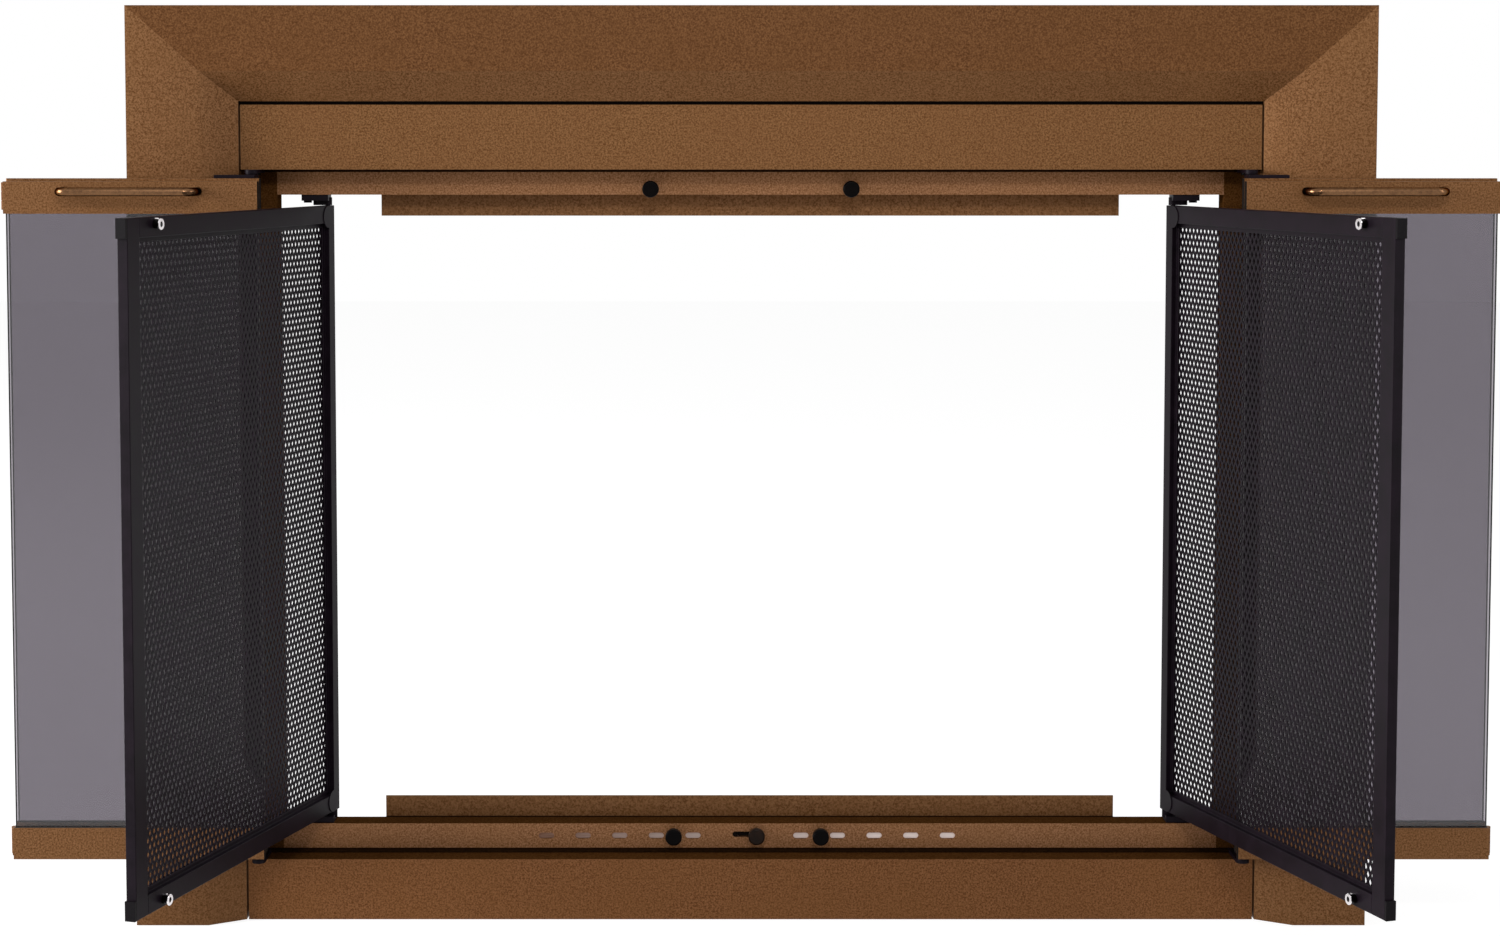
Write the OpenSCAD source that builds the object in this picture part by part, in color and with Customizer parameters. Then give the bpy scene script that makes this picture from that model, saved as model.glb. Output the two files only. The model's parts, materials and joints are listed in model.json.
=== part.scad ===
// Fireplace glass door: a bevelled steel surround with two bifold glass door pairs and two mesh doors.
// Origin: on the hearth, in the wall plane, at the middle of the width. +X right, +Y into the firebox, +Z up.
// It is drawn as it stands when open: glass doors folded over the columns, mesh doors swung out.

/* [Surround] */
// Overall width of the surround
surround_w = 1105; // [1000:1:1300]
// Overall height of the surround
surround_h = 824; // [760:1:900]
// Depth from the front face to the wall
surround_d = 38; // [34:1:60]
// Height of the header's flat face
header_face_h = 57.6; // [50:0.1:70]
// Height of the header's bevel
header_bevel_h = 26.6; // [20:0.1:35]
// Width of a column's flat face
column_face_w = 64.7; // [55:0.1:75]
// Width of a column's bevel
column_bevel_w = 31.3; // [25:0.1:40]
// How far the bevel goes back
bevel_d = 19; // [15:0.5:24]
// Width of the flange that turns back from the bevel's edge
bevel_flange = 15; // [10:0.5:18]
// Width of the flange that lies on the wall
wall_flange = 12; // [11:0.5:16]
// Thickness of the surround's sheet steel
sheet_t = 1.5; // [1:0.1:2]

/* [Recessed panels] */
// Dark gap between the header's bevel and the lintel panel
reveal_gap = 3.1; // [2:0.1:5]
// Gap between a column and the end of a recessed panel
panel_end_gap = 1.8; // [1:0.1:3]
// Height of the lintel panel
lintel_h = 57.6; // [50:0.1:70]
// Height of the bottom panel
bottom_panel_h = 55.3; // [52:0.1:65]
// Distance from the panels' face back to the inner rail and track
rail_setback = 30; // [28:0.5:36]

/* [Inner frame] */
// Width of the jamb strip that shows beside the opening
jamb_w = 29.5; // [26:0.5:32]
// Height of the head rail
head_rail_h = 20.6; // [19:0.1:25]
// Gap between the lintel panel and the head rail
head_rail_gap = 2.5; // [1:0.1:4]
// Height of the vented track
track_h = 22.6; // [21:0.1:26]
// Gap between the bottom panel and the vented track
track_gap = 2.7; // [2:0.1:4]
// Depth of the head rail and the track
rail_d = 25; // [23:0.5:30]
// Height of the lip on the back edge of the head rail and the track
rail_lip_h = 11; // [9:0.5:12]
// Distance from a mesh door's pivot to the end of the stop plates
stop_plate_inset = 47.5; // [40:0.5:80]
// Height of a stop plate that shows past its rail
stop_plate_show = 19.7; // [17:0.1:22]
// Height of a stop plate that lies on its rail
stop_plate_lap = 8.5; // [7.5:0.1:9]
// Thickness of the stop plates and the brackets
plate_t = 2; // [1.5:0.1:2.5]

/* [Air vents and damper] */
// Vent slots on each side of the damper knob
vents_per_side = 5; // [2:1:6]
// Distance from one vent slot to the next
vent_pitch = 33.57; // [32:0.01:36]
// Distance from the middle of the vents to the nearest vent slot
vent_start = 49.4; // [45:0.1:50]
// How far the middle of the vents stands to the right of the surround's middle
vent_shift = -2.8; // [-5:0.1:5]
// Length of a vent slot
vent_l = 14; // [10:0.5:15]
// Height of a vent slot
vent_h = 5.4; // [4:0.1:8]
// Height of the vent slots' centre above the track's lower edge
vent_up = 11.3; // [10:0.1:12]
// How far the damper slides
damper_travel = 16; // [15.5:0.1:17]
// Place of the damper knob along the track when it is shut
damper_knob_x = 5.9; // [0:0.1:10]
// Height of the damper knob above the track's lower edge
damper_knob_up = 12.6; // [11:0.1:13]
// How far the damper knob stands out of the track
damper_knob_out = 12; // [9:0.5:16]
// Diameter of the damper knob's stem, which slides in a thin slot
damper_stem_d = 3; // [2:0.5:6]
// Thickness of the damper plate
damper_t = 1.2; // [1:0.1:1.5]

/* [Knobs and catches] */
// Diameter of the damper knob and of the glass doors' catches
knob_d = 15; // [12:0.5:15.5]
// Distance of the upper catches from the middle
upper_catch_x = 90; // [60:1:150]
// Distance of the lower catches from the middle of the vents
lower_catch_x = 67; // [66:0.5:68]
// Height of the upper catches above the head rail's lower edge
upper_catch_up = 5.4; // [4:0.1:9]
// Height of the lower catches above the track's lower edge
lower_catch_up = 14; // [12:0.1:15]
// Thickness of the catches' heads
catch_head_t = 7; // [4:0.5:12]
// Diameter of the catches' stems
stem_d = 6; // [4:0.5:7]

/* [Glass doors] */
// Thickness of a door rail
panel_t = 10; // [9:0.5:12]
// Height of a door rail
panel_rail_h = 28.3; // [27:0.1:34]
// Thickness of the door rails' sheet steel
panel_sheet = 1.2; // [1:0.1:1.5]
// Thickness of the glass
glass_t = 4; // [3:0.5:4.5]
// How far the glass stands in from the ends of its rails
glass_inset = 1.5; // [1.3:0.1:4]
// Height of the gasket under the edge of the glass
gasket_base = 4; // [2:0.5:6]
// Gap between the lintel panel and the top of the pivot panel
door_top_gap = 7.3; // [6.6:0.1:9]
// Gap between the bottom panel and the bottom of the pivot panel
door_bottom_gap = 13.5; // [12:0.1:16]
// Gap between a column and the closed pivot panel
door_side_gap = 3.3; // [2:0.1:5]
// Gap between the two panels of a pair when closed
fold_gap = 3; // [2.8:0.1:3.6]
// Gap between the backs of two folded panels
fold_back_gap = 0.8; // [0.6:0.1:1.4]
// Gap between the two pairs when closed
meeting_gap = 8.4; // [4:0.1:12]
// How much lower the leading panel hangs than the pivot panel
lead_drop = 2.5; // [0:0.1:3]

/* [Glass door pivots and hinges] */
// Distance from the pivot panel's end to its pivot
pivot_inset = 9.8; // [8:0.1:12]
// Distance from the closed doors' front to the pivot
pivot_ahead = 10.5; // [10.1:0.1:12]
// Diameter of the glass doors' pivot pins
pivot_pin_d = 6; // [4:0.5:6.5]
// Radial clearance of every pin that turns
pin_clearance = 0.05; // [0.02:0.01:0.09]
// Length of the strap along the door rail
strap_l = 36; // [25:1:60]
// Thickness of the straps and the pivot brackets
strap_t = 3; // [2.5:0.1:3.2]
// Radius of the round nose about a pivot
pivot_nose_r = 6; // [5:0.5:7]
// Distance from the inner rail's face to the pivot brackets' screws
pivot_screw_setback = 12; // [8:0.5:13]
// Outer diameter of the fold hinges' knuckles
knuckle_d = 4.8; // [4.2:0.1:5]
// Diameter of the fold hinges' pins
fold_pin_d = 2.4; // [2:0.1:2.6]
// Height of a fold hinge
fold_hinge_h = 24; // [18:1:24]
// Gap between the knuckles of a fold hinge
knuckle_gap = 0.3; // [0.2:0.1:0.6]
// Thickness of the fold hinges' leaves
leaf_t = 1.1; // [0.8:0.1:1.2]

/* [Pull handles] */
// Length of a pull handle over its bends
handle_l = 126; // [100:1:160]
// Diameter of the handle's rod
handle_rod_d = 7.6; // [6.5:0.1:9]
// How far the handle stands out from the rail
handle_out = 25; // [20:0.5:35]
// Inside radius of the handle's bends
handle_bend_r = 6; // [4:0.5:9]
// Height of the handle above the lower edge of its rail
handle_up = 19.6; // [14:0.1:21]
// Diameter of the handle's screws
handle_screw_d = 3.8; // [3:0.1:4]
// Diameter of the handle screws' flat heads
handle_screw_head_d = 7; // [6:0.1:8]
// How far a handle screw goes into the rod
handle_screw_in = 8; // [5:0.5:12]

/* [Mesh doors] */
// Gap between the two mesh doors when closed
mesh_meeting_gap = 6; // [3:0.5:12]
// Gap between the head rail and the top of a mesh door
mesh_top_gap = 10; // [9:0.5:15]
// Gap between the track and the bottom of a mesh door
mesh_bottom_gap = 10; // [9:0.1:15]
// Thickness of a mesh door's frame
mesh_t = 9; // [8:0.5:10]
// Width of a mesh door's stile at the hinge edge
hinge_stile_w = 12; // [11:0.5:25]
// Width of a mesh door's stile at the free edge
free_stile_w = 19; // [14:0.5:25]
// How far the corner caps stand out past the free stile
mesh_cap_out = 2.7; // [0.5:0.1:3.5]
// Height of a mesh door's rails
mesh_rail_h = 16; // [14:0.5:25]
// Wall of the mesh door's tubes
mesh_tube_wall = 1.2; // [0.8:0.1:1.2]
// Width of the lip that backs the screen
mesh_lip_w = 4; // [3:0.5:8]
// Thickness of the lip that backs the screen
mesh_lip_t = 1.6; // [1:0.1:2]
// Thickness of the screen
screen_t = 1.4; // [1:0.1:2]
// Distance from a mesh door's front face back to its screen
screen_inset = 1.2; // [0.8:0.1:2]
// Gaps of the net side by side
net_columns = 11; // [6:1:12]
// Gaps of the net one above the other
net_rows = 9; // [5:1:10]
// Width of the net's strands
net_strand = 3; // [2:0.1:5]
// Distance from the jamb to a mesh door's pivot
mesh_pivot_gap = 43.5; // [42:0.5:50]
// Distance from the hinge edge of a mesh door to its pivot
mesh_pivot_inset = 4.5; // [4.3:0.1:6]
// Distance from the rail's face back to the mesh doors' middle plane
mesh_setback = 14; // [13:0.5:14.5]
// Diameter of the mesh doors' pivot pins
mesh_pin_d = 4; // [3:0.1:4]
// Length of the mesh doors' pivot pins in the door
mesh_pin_l = 12; // [8:0.5:20]
// How far the left mesh door stands open
mesh_open_left = 107; // [90:0.5:107]
// How far the right mesh door stands open
mesh_open_right = 108; // [90:0.5:108]
// Width of a mesh pivot block
mesh_block_w = 24; // [23:0.5:30]
// Height of a mesh pivot block
mesh_block_h = 5.5; // [4:0.5:6]
// Diameter of the mesh doors' magnetic catches
mesh_catch_d = 10; // [8:0.5:12]
// Distance of the mesh doors' catches from the free edge
mesh_catch_inset = 47; // [30:1:80]
// Thickness of the ring magnet on a mesh door's catch
mesh_magnet_t = 2.2; // [1.5:0.1:3]

/* [Fixings] */
// Diameter of the frame's screws
screw_d = 4; // [3:0.5:4.5]
// Diameter of the screws' heads
screw_head_d = 7.4; // [6.5:0.1:8.5]
// Height of the screws' heads
screw_head_h = 2; // [1.5:0.1:2.5]
// Length of each arm of the corner gussets
gusset_l = 80; // [60:1:120]
// Distance of the lintel clamps from the middle
clamp_x = 250; // [150:1:350]
// Diameter of the clamps' jack screws
jack_d = 8; // [6:0.5:10]
// Height of the jack screws above the head rail
jack_h = 44; // [35:1:50]
// Length of a floor bracket's foot
floor_foot_l = 40; // [30:1:60]
// Height of a floor bracket
floor_bracket_h = 45; // [30:1:52]
// Diameter of the anchor holes in the floor brackets
anchor_hole_d = 7; // [5:0.5:9]

/* [Hidden] */

$fn = 48;

bronze = [0.43, 0.29, 0.18];
dark_bronze = [0.33, 0.22, 0.14];
black = [0.12, 0.11, 0.12];
zinc = [0.62, 0.62, 0.6];
nickel = [0.85, 0.84, 0.82];
smoke = [0.34, 0.31, 0.33, 0.55];
rubber_grey = [0.2, 0.2, 0.2];

near = 0.3;                    // gap between pieces that all but touch and move past each other
cut = 1;                       // how far a cutting shape runs past what it cuts

// planes, from the front back: y grows into the firebox and the wall plane is y = 0
face_y = -surround_d;
panel_y = face_y + bevel_d;
rail_y = panel_y + rail_setback;
rail_back_y = rail_y + rail_d;
door_back_y = panel_y + panel_t;

// the surround's outline, left half
half_w = surround_w / 2;
column_edge_x = -half_w + column_face_w;
opening_x = column_edge_x + column_bevel_w;
flange_x = opening_x - sheet_t;
jamb_x = opening_x + jamb_w;
header_edge_z = surround_h - header_face_h;
header_low_z = header_edge_z - header_bevel_h;

// heights, from the top down
lintel_top_z = header_low_z - reveal_gap;
lintel_low_z = lintel_top_z - lintel_h;
head_rail_top_z = lintel_low_z - head_rail_gap;
head_rail_low_z = head_rail_top_z - head_rail_h;
track_low_z = bottom_panel_h + track_gap;
track_top_z = track_low_z + track_h;

// glass doors, closed, left pair
pivot_panel_x = opening_x + door_side_gap;
panel_w = (-pivot_panel_x - fold_gap - meeting_gap / 2) / 2;
lead_panel_x = pivot_panel_x + panel_w + fold_gap;
pivot_low_z = bottom_panel_h + door_bottom_gap;
pivot_top_z = lintel_low_z - door_top_gap;
panel_h = pivot_top_z - pivot_low_z;
lead_low_z = pivot_low_z - lead_drop;
glass_y = panel_y + (panel_t - glass_t) / 2;
glass_margin = panel_sheet + gasket_base;

// pivots and fold hinges of the left pair
pivot_x = pivot_panel_x + pivot_inset;
pivot_y = panel_y - pivot_ahead;
pivot_pin_r = pivot_pin_d / 2;
pivot_pin_past = strap_t / 2;
pivot_collar_r = pivot_pin_r + 2.5;
pivot_screw_y = rail_y - pivot_screw_setback;
fold_x = pivot_panel_x + panel_w + fold_gap / 2;
fold_y = door_back_y + fold_back_gap / 2;
knuckle_r = knuckle_d / 2;
fold_pin_r = fold_pin_d / 2;
hinge_room_r = knuckle_r + near;
knuckle_h = (fold_hinge_h - 2 * knuckle_gap) / 3;
fold_hinge_margin = (panel_rail_h - lead_drop - fold_hinge_h) / 2;
fold_hinge_zs = [pivot_low_z + fold_hinge_margin, pivot_top_z - panel_rail_h + fold_hinge_margin];
leaf_margin = 1;

// pull handle on the leading panel's top rail
handle_rod_r = handle_rod_d / 2;
handle_mid_x = lead_panel_x + panel_w / 2;
handle_arm = handle_l / 2 - handle_rod_r;
handle_axis_y = panel_y - handle_out + handle_rod_r;
handle_bend = handle_bend_r + handle_rod_r;
handle_z = lead_low_z + panel_h - panel_rail_h + handle_up;
handle_screw_r = handle_screw_d / 2;
handle_screw_y = panel_y + panel_sheet;
handle_screw_head_h = (glass_y - handle_screw_y) * 0.8;

// mesh doors, closed, left door
mesh_pivot_x = jamb_x + mesh_pivot_gap;
mesh_hinge_x = mesh_pivot_x - mesh_pivot_inset;
mesh_free_x = -mesh_meeting_gap / 2;
mesh_y = rail_y + mesh_setback;
mesh_front_y = mesh_y - mesh_t / 2;
mesh_back_y = mesh_y + mesh_t / 2;
mesh_low_z = track_top_z + mesh_bottom_gap;
mesh_top_z = head_rail_low_z - mesh_top_gap;
screen_x = mesh_hinge_x + hinge_stile_w;
mesh_stile_edge_x = mesh_free_x - mesh_cap_out;
screen_w = mesh_stile_edge_x - free_stile_w - screen_x;
screen_z = mesh_low_z + mesh_rail_h;
screen_h = mesh_top_z - mesh_rail_h - screen_z;
lip_y = mesh_front_y + screen_inset + screen_t;
mesh_pin_r = mesh_pin_d / 2;
mesh_pin_room = 0.5;
mesh_plug_l = mesh_pin_l + 4;
mesh_catch_x = mesh_free_x - mesh_catch_inset;
mesh_catch_r = mesh_catch_d / 2;
mesh_catch_in = mesh_catch_r + 1;
mesh_catch_tip_y = rail_back_y - near;
magnet_hole_r = 1.7;

// blocks that carry the mesh doors
mesh_block_y = rail_y + plate_t;
mesh_block_d = rail_d - 2 * plate_t;
mesh_block_x = mesh_pivot_x - mesh_block_w + mesh_pin_r;
mesh_screw_x = mesh_block_x + screw_head_d / 2 + near;
mesh_neck_r = mesh_pin_r + 2;
mesh_neck_l = 9;

// knobs, catches and vents
upper_catch_z = head_rail_low_z + upper_catch_up;
lower_catch_z = track_low_z + lower_catch_up;
vent_z = track_low_z + vent_up;
damper_knob_z = track_low_z + damper_knob_up;
catch_tip_y = door_back_y + near;
stem_r = stem_d / 2;
damper_stem_r = damper_stem_d / 2;
damper_slot_h = damper_stem_d + 2 * near;
knob_rim = 1;
vent_side = [for (i = [0 : vents_per_side - 1]) vent_start + i * vent_pitch];
vent_xs = [for (side = [-1, 1]) for (x = vent_side) vent_shift + side * x];
damper_y = rail_y + sheet_t + near;
damper_l = 2 * (vent_start + vents_per_side * vent_pitch);
damper_h = 12;
guide_l = 24;
guide_lap = 2;
guide_root = 2.2;
guide_xs = [vent_shift - damper_l / 4, vent_shift + damper_l / 4];

// screws and other fixings
screw_r = screw_d / 2;
screw_hole_r = screw_r + 0.1;
stop_plate_x = mesh_pivot_x + stop_plate_inset;
stop_screw_xs = [stop_plate_x + 36, 0, -stop_plate_x - 36];
stop_screw_in = stop_plate_lap / 2;
jamb_screw_y = panel_y + bevel_flange * 0.6;
jamb_screw_zs = [surround_h * 0.12, surround_h * 0.45, surround_h * 0.78];
gusset_w = wall_flange - sheet_t;
gusset_mid = sheet_t + gusset_w / 2;
gusset_screws = [gusset_l * 0.4, gusset_l * 0.8];
jack_r = jack_d / 2;
jack_y = rail_y + rail_d / 2;
jack_nut_h = 5;
jack_below = jack_nut_h + 3;
jack_pad_r = 10;
jack_pad_h = 3;
floor_bracket_y = rail_y + plate_t;
floor_bracket_d = rail_d - 2 * plate_t;
floor_mid_y = rail_y + rail_d / 2;
floor_screw_z = floor_bracket_h * 0.6;
anchor_x = jamb_x + floor_foot_l * 0.6;

// -- helpers --

function left_normal(a, b) = [a.y - b.y, b.x - a.x] / norm(b - a);

function offset_corner(path, i, t) =
    let (
        last = len(path) - 1,
        before = left_normal(path[max(i - 1, 0)], path[max(i, 1)]),
        after = left_normal(path[min(i, last - 1)], path[min(i + 1, last)])
    )
    path[i] + t * (before + after) / (1 + before * after);

// outline of a bent sheet: the path is its outer face, and the metal lies to the left of it
function bent_sheet(path, t) = concat(path, [for (i = [len(path) - 1 : -1 : 0]) offset_corner(path, i, t)]);

// a profile drawn in y and z, run along x and centred on it
module along_x(length) {
    rotate([90, 0, 90]) linear_extrude(length, center = true) children();
}

// an outline drawn in x and z, run back from the front to beyond the wall
module through_y() {
    translate([0, cut, 0]) rotate([90, 0, 0]) linear_extrude(surround_d + 2 * cut) children();
}

module box(low, high) {
    translate(low) cube(high - low);
}

// a cylinder along x from x0 to x1
module rod_x(y, z, r, x0, x1) {
    translate([x0, y, z]) rotate([0, 90, 0]) cylinder(r = r, h = x1 - x0);
}

// a cylinder along y from y0 to y1
module rod_y(x, z, r, y0, y1) {
    translate([x, y0, z]) rotate([-90, 0, 0]) cylinder(r = r, h = y1 - y0);
}

// a cylinder along z from z0 to z1
module rod_z(x, y, r, z0, z1) {
    translate([x, y, z0]) cylinder(r = r, h = z1 - z0);
}

// a slot with round ends, cut through y from y0 to y1
module slot_y(x, z, length, height, y0, y1) {
    translate([x, y1, z]) rotate([90, 0, 0]) linear_extrude(y1 - y0) {
        square([length - height, height], center = true);
        for (end = [-1, 1]) translate([end * (length - height) / 2, 0]) circle(height / 2);
    }
}

module both_sides() {
    children();
    mirror([1, 0, 0]) children();
}

module on_side(side) {
    if (side == "left") children();
    else mirror([1, 0, 0]) children();
}

// a screw whose head rests at z = 0, with its shank going down through the grip
module screw(grip) {
    cylinder(r = screw_head_d / 2, h = screw_head_h);
    translate([0, 0, -grip]) cylinder(r = screw_r, h = grip + screw_head_h / 2);
}

// the pivot panel stands half a turn about its pivot from where it closes
module open_pivot_panel(side) {
    on_side(side) translate([2 * pivot_x, 2 * pivot_y, 0]) rotate(180) children();
}

// the leading panel lies folded on the pivot panel, so it is only shifted and not turned
module open_lead_panel(side) {
    on_side(side) translate([2 * (pivot_x - fold_x), 2 * (pivot_y - fold_y), 0]) children();
}

module open_mesh_door(side) {
    angle = side == "left" ? mesh_open_left : mesh_open_right;
    on_side(side) translate([mesh_pivot_x, mesh_y, 0]) rotate(-angle) translate([-mesh_pivot_x, -mesh_y, 0])
        children();
}

// -- surround --

module header_trim() {
    profile = bent_sheet([[0, surround_h - wall_flange], [0, surround_h], [face_y, surround_h],
        [face_y, header_edge_z], [panel_y, header_low_z], [panel_y + bevel_flange, header_low_z]], sheet_t);
    mitred = [[-half_w, surround_h], [column_edge_x, header_edge_z], [opening_x, header_low_z],
        [-opening_x, header_low_z], [-column_edge_x, header_edge_z], [half_w, surround_h]];
    color(bronze) difference() {
        intersection() {
            along_x(surround_w) polygon(profile);
            through_y() polygon(mitred);
        }
        both_sides() for (in = gusset_screws)
            rod_y(-half_w + in, surround_h - gusset_mid, screw_hole_r, -sheet_t - cut, cut);
    }
}

module column_trim(side) {
    profile = bent_sheet([[-half_w + wall_flange, 0], [-half_w, 0], [-half_w, face_y],
        [column_edge_x, face_y], [opening_x, panel_y], [opening_x, panel_y + bevel_flange]], sheet_t);
    mitred = [[-half_w, 0], [-half_w, surround_h], [column_edge_x, header_edge_z],
        [opening_x, header_low_z], [opening_x, 0]];
    color(bronze) on_side(side) difference() {
        intersection() {
            linear_extrude(surround_h) polygon(profile);
            through_y() polygon(mitred);
        }
        for (down = gusset_screws)
            rod_y(-half_w + gusset_mid, surround_h - down, screw_hole_r, -sheet_t - cut, cut);
        for (z = jamb_screw_zs)
            rod_x(jamb_screw_y, z, screw_hole_r, flange_x - cut, opening_x + cut);
    }
}

// a recessed panel: a face with a flange back from its top and its lower edge
module recessed_panel(low_z, top_z) {
    profile = bent_sheet([[rail_y, top_z], [panel_y, top_z], [panel_y, low_z], [rail_y, low_z]], sheet_t);
    along_x(-2 * (opening_x + panel_end_gap)) polygon(profile);
}

module lintel_panel() {
    color(bronze) difference() {
        recessed_panel(lintel_low_z, lintel_top_z);
        both_sides() rod_z(pivot_x, pivot_screw_y, screw_hole_r, lintel_low_z - cut,
            lintel_low_z + sheet_t + cut);
    }
}

module bottom_panel() {
    color(bronze) difference() {
        recessed_panel(0, bottom_panel_h);
        both_sides() rod_z(pivot_x, pivot_screw_y, screw_hole_r, bottom_panel_h - sheet_t - cut,
            bottom_panel_h + cut);
    }
}

module jamb(side) {
    profile = bent_sheet([[flange_x, panel_y + 2 * sheet_t], [flange_x, rail_y], [jamb_x, rail_y],
        [jamb_x, rail_back_y]], sheet_t);
    color(dark_bronze) on_side(side) difference() {
        linear_extrude(lintel_top_z) polygon(profile);
        for (z = jamb_screw_zs)
            rod_x(jamb_screw_y, z, screw_hole_r, flange_x - sheet_t - cut, flange_x + cut);
        rod_x(floor_mid_y, floor_screw_z, screw_hole_r, jamb_x - sheet_t - cut, jamb_x + cut);
    }
}

module corner_gussets() {
    color(zinc) both_sides() difference() {
        translate([-half_w + sheet_t, -sheet_t, surround_h - sheet_t]) rotate([90, 0, 0])
            linear_extrude(plate_t) polygon([[0, 0], [gusset_l, 0], [gusset_l, -gusset_w],
                [gusset_w, -gusset_w], [gusset_w, -gusset_l], [0, -gusset_l]]);
        for (out = gusset_screws) {
            rod_y(-half_w + out, surround_h - gusset_mid, screw_hole_r, -sheet_t - plate_t - cut, 0);
            rod_y(-half_w + gusset_mid, surround_h - out, screw_hole_r, -sheet_t - plate_t - cut, 0);
        }
    }
}

// -- inner frame --

// a channel between the jambs, open at the back, with a lip on its back edge next to the opening
module rail_channel(low_z, top_z, lip_on_top) {
    path = lip_on_top ?
        [[rail_back_y, top_z - rail_lip_h], [rail_back_y, top_z], [rail_y, top_z], [rail_y, low_z],
            [rail_back_y, low_z]] :
        [[rail_back_y, top_z], [rail_y, top_z], [rail_y, low_z], [rail_back_y, low_z],
            [rail_back_y, low_z + rail_lip_h]];
    along_x(-2 * jamb_x) polygon(bent_sheet(path, sheet_t));
}

module stop_screw_holes(z) {
    for (x = stop_screw_xs)
        rod_y(x, z, screw_hole_r, rail_back_y - sheet_t - cut, rail_back_y + plate_t + cut);
}

module catch_holes(mid_x, out, z) {
    for (side = [-1, 1]) rod_y(mid_x + side * out, z, stem_r, rail_y - cut, rail_y + sheet_t + cut);
}

module head_rail() {
    color(bronze) difference() {
        rail_channel(head_rail_low_z, head_rail_top_z, false);
        stop_screw_holes(head_rail_low_z + stop_screw_in);
        catch_holes(0, upper_catch_x, upper_catch_z);
        both_sides() {
            rod_z(mesh_screw_x, mesh_y, screw_hole_r, head_rail_low_z - cut, head_rail_low_z + sheet_t + cut);
            rod_z(-clamp_x, jack_y, jack_r + near, head_rail_top_z - sheet_t - cut, head_rail_top_z + cut);
        }
    }
}

module vent_track() {
    color(bronze) difference() {
        rail_channel(track_low_z, track_top_z, true);
        stop_screw_holes(track_top_z - stop_screw_in);
        catch_holes(vent_shift, lower_catch_x, lower_catch_z);
        both_sides()
            rod_z(mesh_screw_x, mesh_y, screw_hole_r, track_top_z - sheet_t - cut, track_top_z + cut);
        for (x = vent_xs) slot_y(x, vent_z, vent_l, vent_h, rail_y - cut, rail_y + sheet_t + cut);
        slot_y(damper_knob_x - damper_travel / 2, damper_knob_z, damper_travel + damper_slot_h,
            damper_slot_h, rail_y - cut, rail_y + sheet_t + cut);
    }
}

module stop_plate(low_z, screw_z) {
    difference() {
        box([stop_plate_x, rail_back_y, low_z],
            [-stop_plate_x, rail_back_y + plate_t, low_z + stop_plate_show + stop_plate_lap]);
        stop_screw_holes(screw_z);
    }
}

module stop_plates() {
    color(dark_bronze) {
        stop_plate(head_rail_low_z - stop_plate_show, head_rail_low_z + stop_screw_in);
        stop_plate(track_top_z - stop_plate_lap, track_top_z - stop_screw_in);
    }
}

// a round button with a chamfered rim; its stem, of radius r, goes back through the rail
module button(x, z, front_y, back_y, stem_back_y, r) {
    rod_y(x, z, knob_d / 2, front_y + knob_rim, back_y);
    translate([x, front_y, z]) rotate([-90, 0, 0])
        cylinder(r1 = knob_d / 2 - knob_rim, r2 = knob_d / 2, h = knob_rim);
    rod_y(x, z, r, back_y - cut, stem_back_y);
}

module door_catches() {
    color(black) for (side = [-1, 1]) {
        button(side * upper_catch_x, upper_catch_z, catch_tip_y, catch_tip_y + catch_head_t,
            rail_y + sheet_t, stem_r);
        button(vent_shift + side * lower_catch_x, lower_catch_z, catch_tip_y, catch_tip_y + catch_head_t,
            rail_y + sheet_t, stem_r);
    }
}

// -- pivots on the frame --

// a flat bracket that reaches forward from a panel's flange, with a collar and a pin for the door
module glass_pivot_bracket(plate_z, collar_zs, pin_zs) {
    difference() {
        union() {
            rod_z(pivot_x, pivot_y, pivot_nose_r, plate_z, plate_z + strap_t);
            box([pivot_x - pivot_nose_r, pivot_y, plate_z],
                [pivot_x + pivot_nose_r, rail_y - plate_t, plate_z + strap_t]);
        }
        rod_z(pivot_x, pivot_screw_y, screw_hole_r, plate_z - cut, plate_z + strap_t + cut);
    }
    rod_z(pivot_x, pivot_y, pivot_collar_r, collar_zs[0], collar_zs[1]);
    rod_z(pivot_x, pivot_y, pivot_pin_r, pin_zs[0], pin_zs[1]);
}

module glass_pivot_brackets() {
    upper_z = lintel_low_z - strap_t;
    lower_top_z = bottom_panel_h + strap_t;
    color(black) both_sides() {
        glass_pivot_bracket(upper_z, [pivot_top_z + strap_t + near, lintel_low_z],
            [pivot_top_z - pivot_pin_past, lintel_low_z]);
        glass_pivot_bracket(bottom_panel_h, [bottom_panel_h, pivot_low_z - strap_t - near],
            [lower_top_z, pivot_low_z + pivot_pin_past]);
    }
}

// a block below a rail at z = 0, with a neck and a pin for a door that starts at door_z
module mesh_pivot_block(door_z) {
    difference() {
        box([mesh_block_x, mesh_block_y, -mesh_block_h],
            [mesh_block_x + mesh_block_w, mesh_block_y + mesh_block_d, 0]);
        rod_z(mesh_screw_x, mesh_y, screw_hole_r, -mesh_block_h - cut, cut);
    }
    hull() for (x = [mesh_pivot_x - mesh_neck_l, mesh_pivot_x])
        rod_z(x, mesh_y, mesh_neck_r, door_z + near, -mesh_block_h / 2);
    rod_z(mesh_pivot_x, mesh_y, mesh_pin_r, door_z - mesh_pin_l, -mesh_block_h / 2);
}

module mesh_pivot_brackets() {
    color(black) both_sides() {
        translate([0, 0, head_rail_low_z]) mesh_pivot_block(-mesh_top_gap);
        translate([0, 0, track_top_z]) mirror([0, 0, 1]) mesh_pivot_block(-mesh_bottom_gap);
    }
}

// -- fixings --

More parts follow.
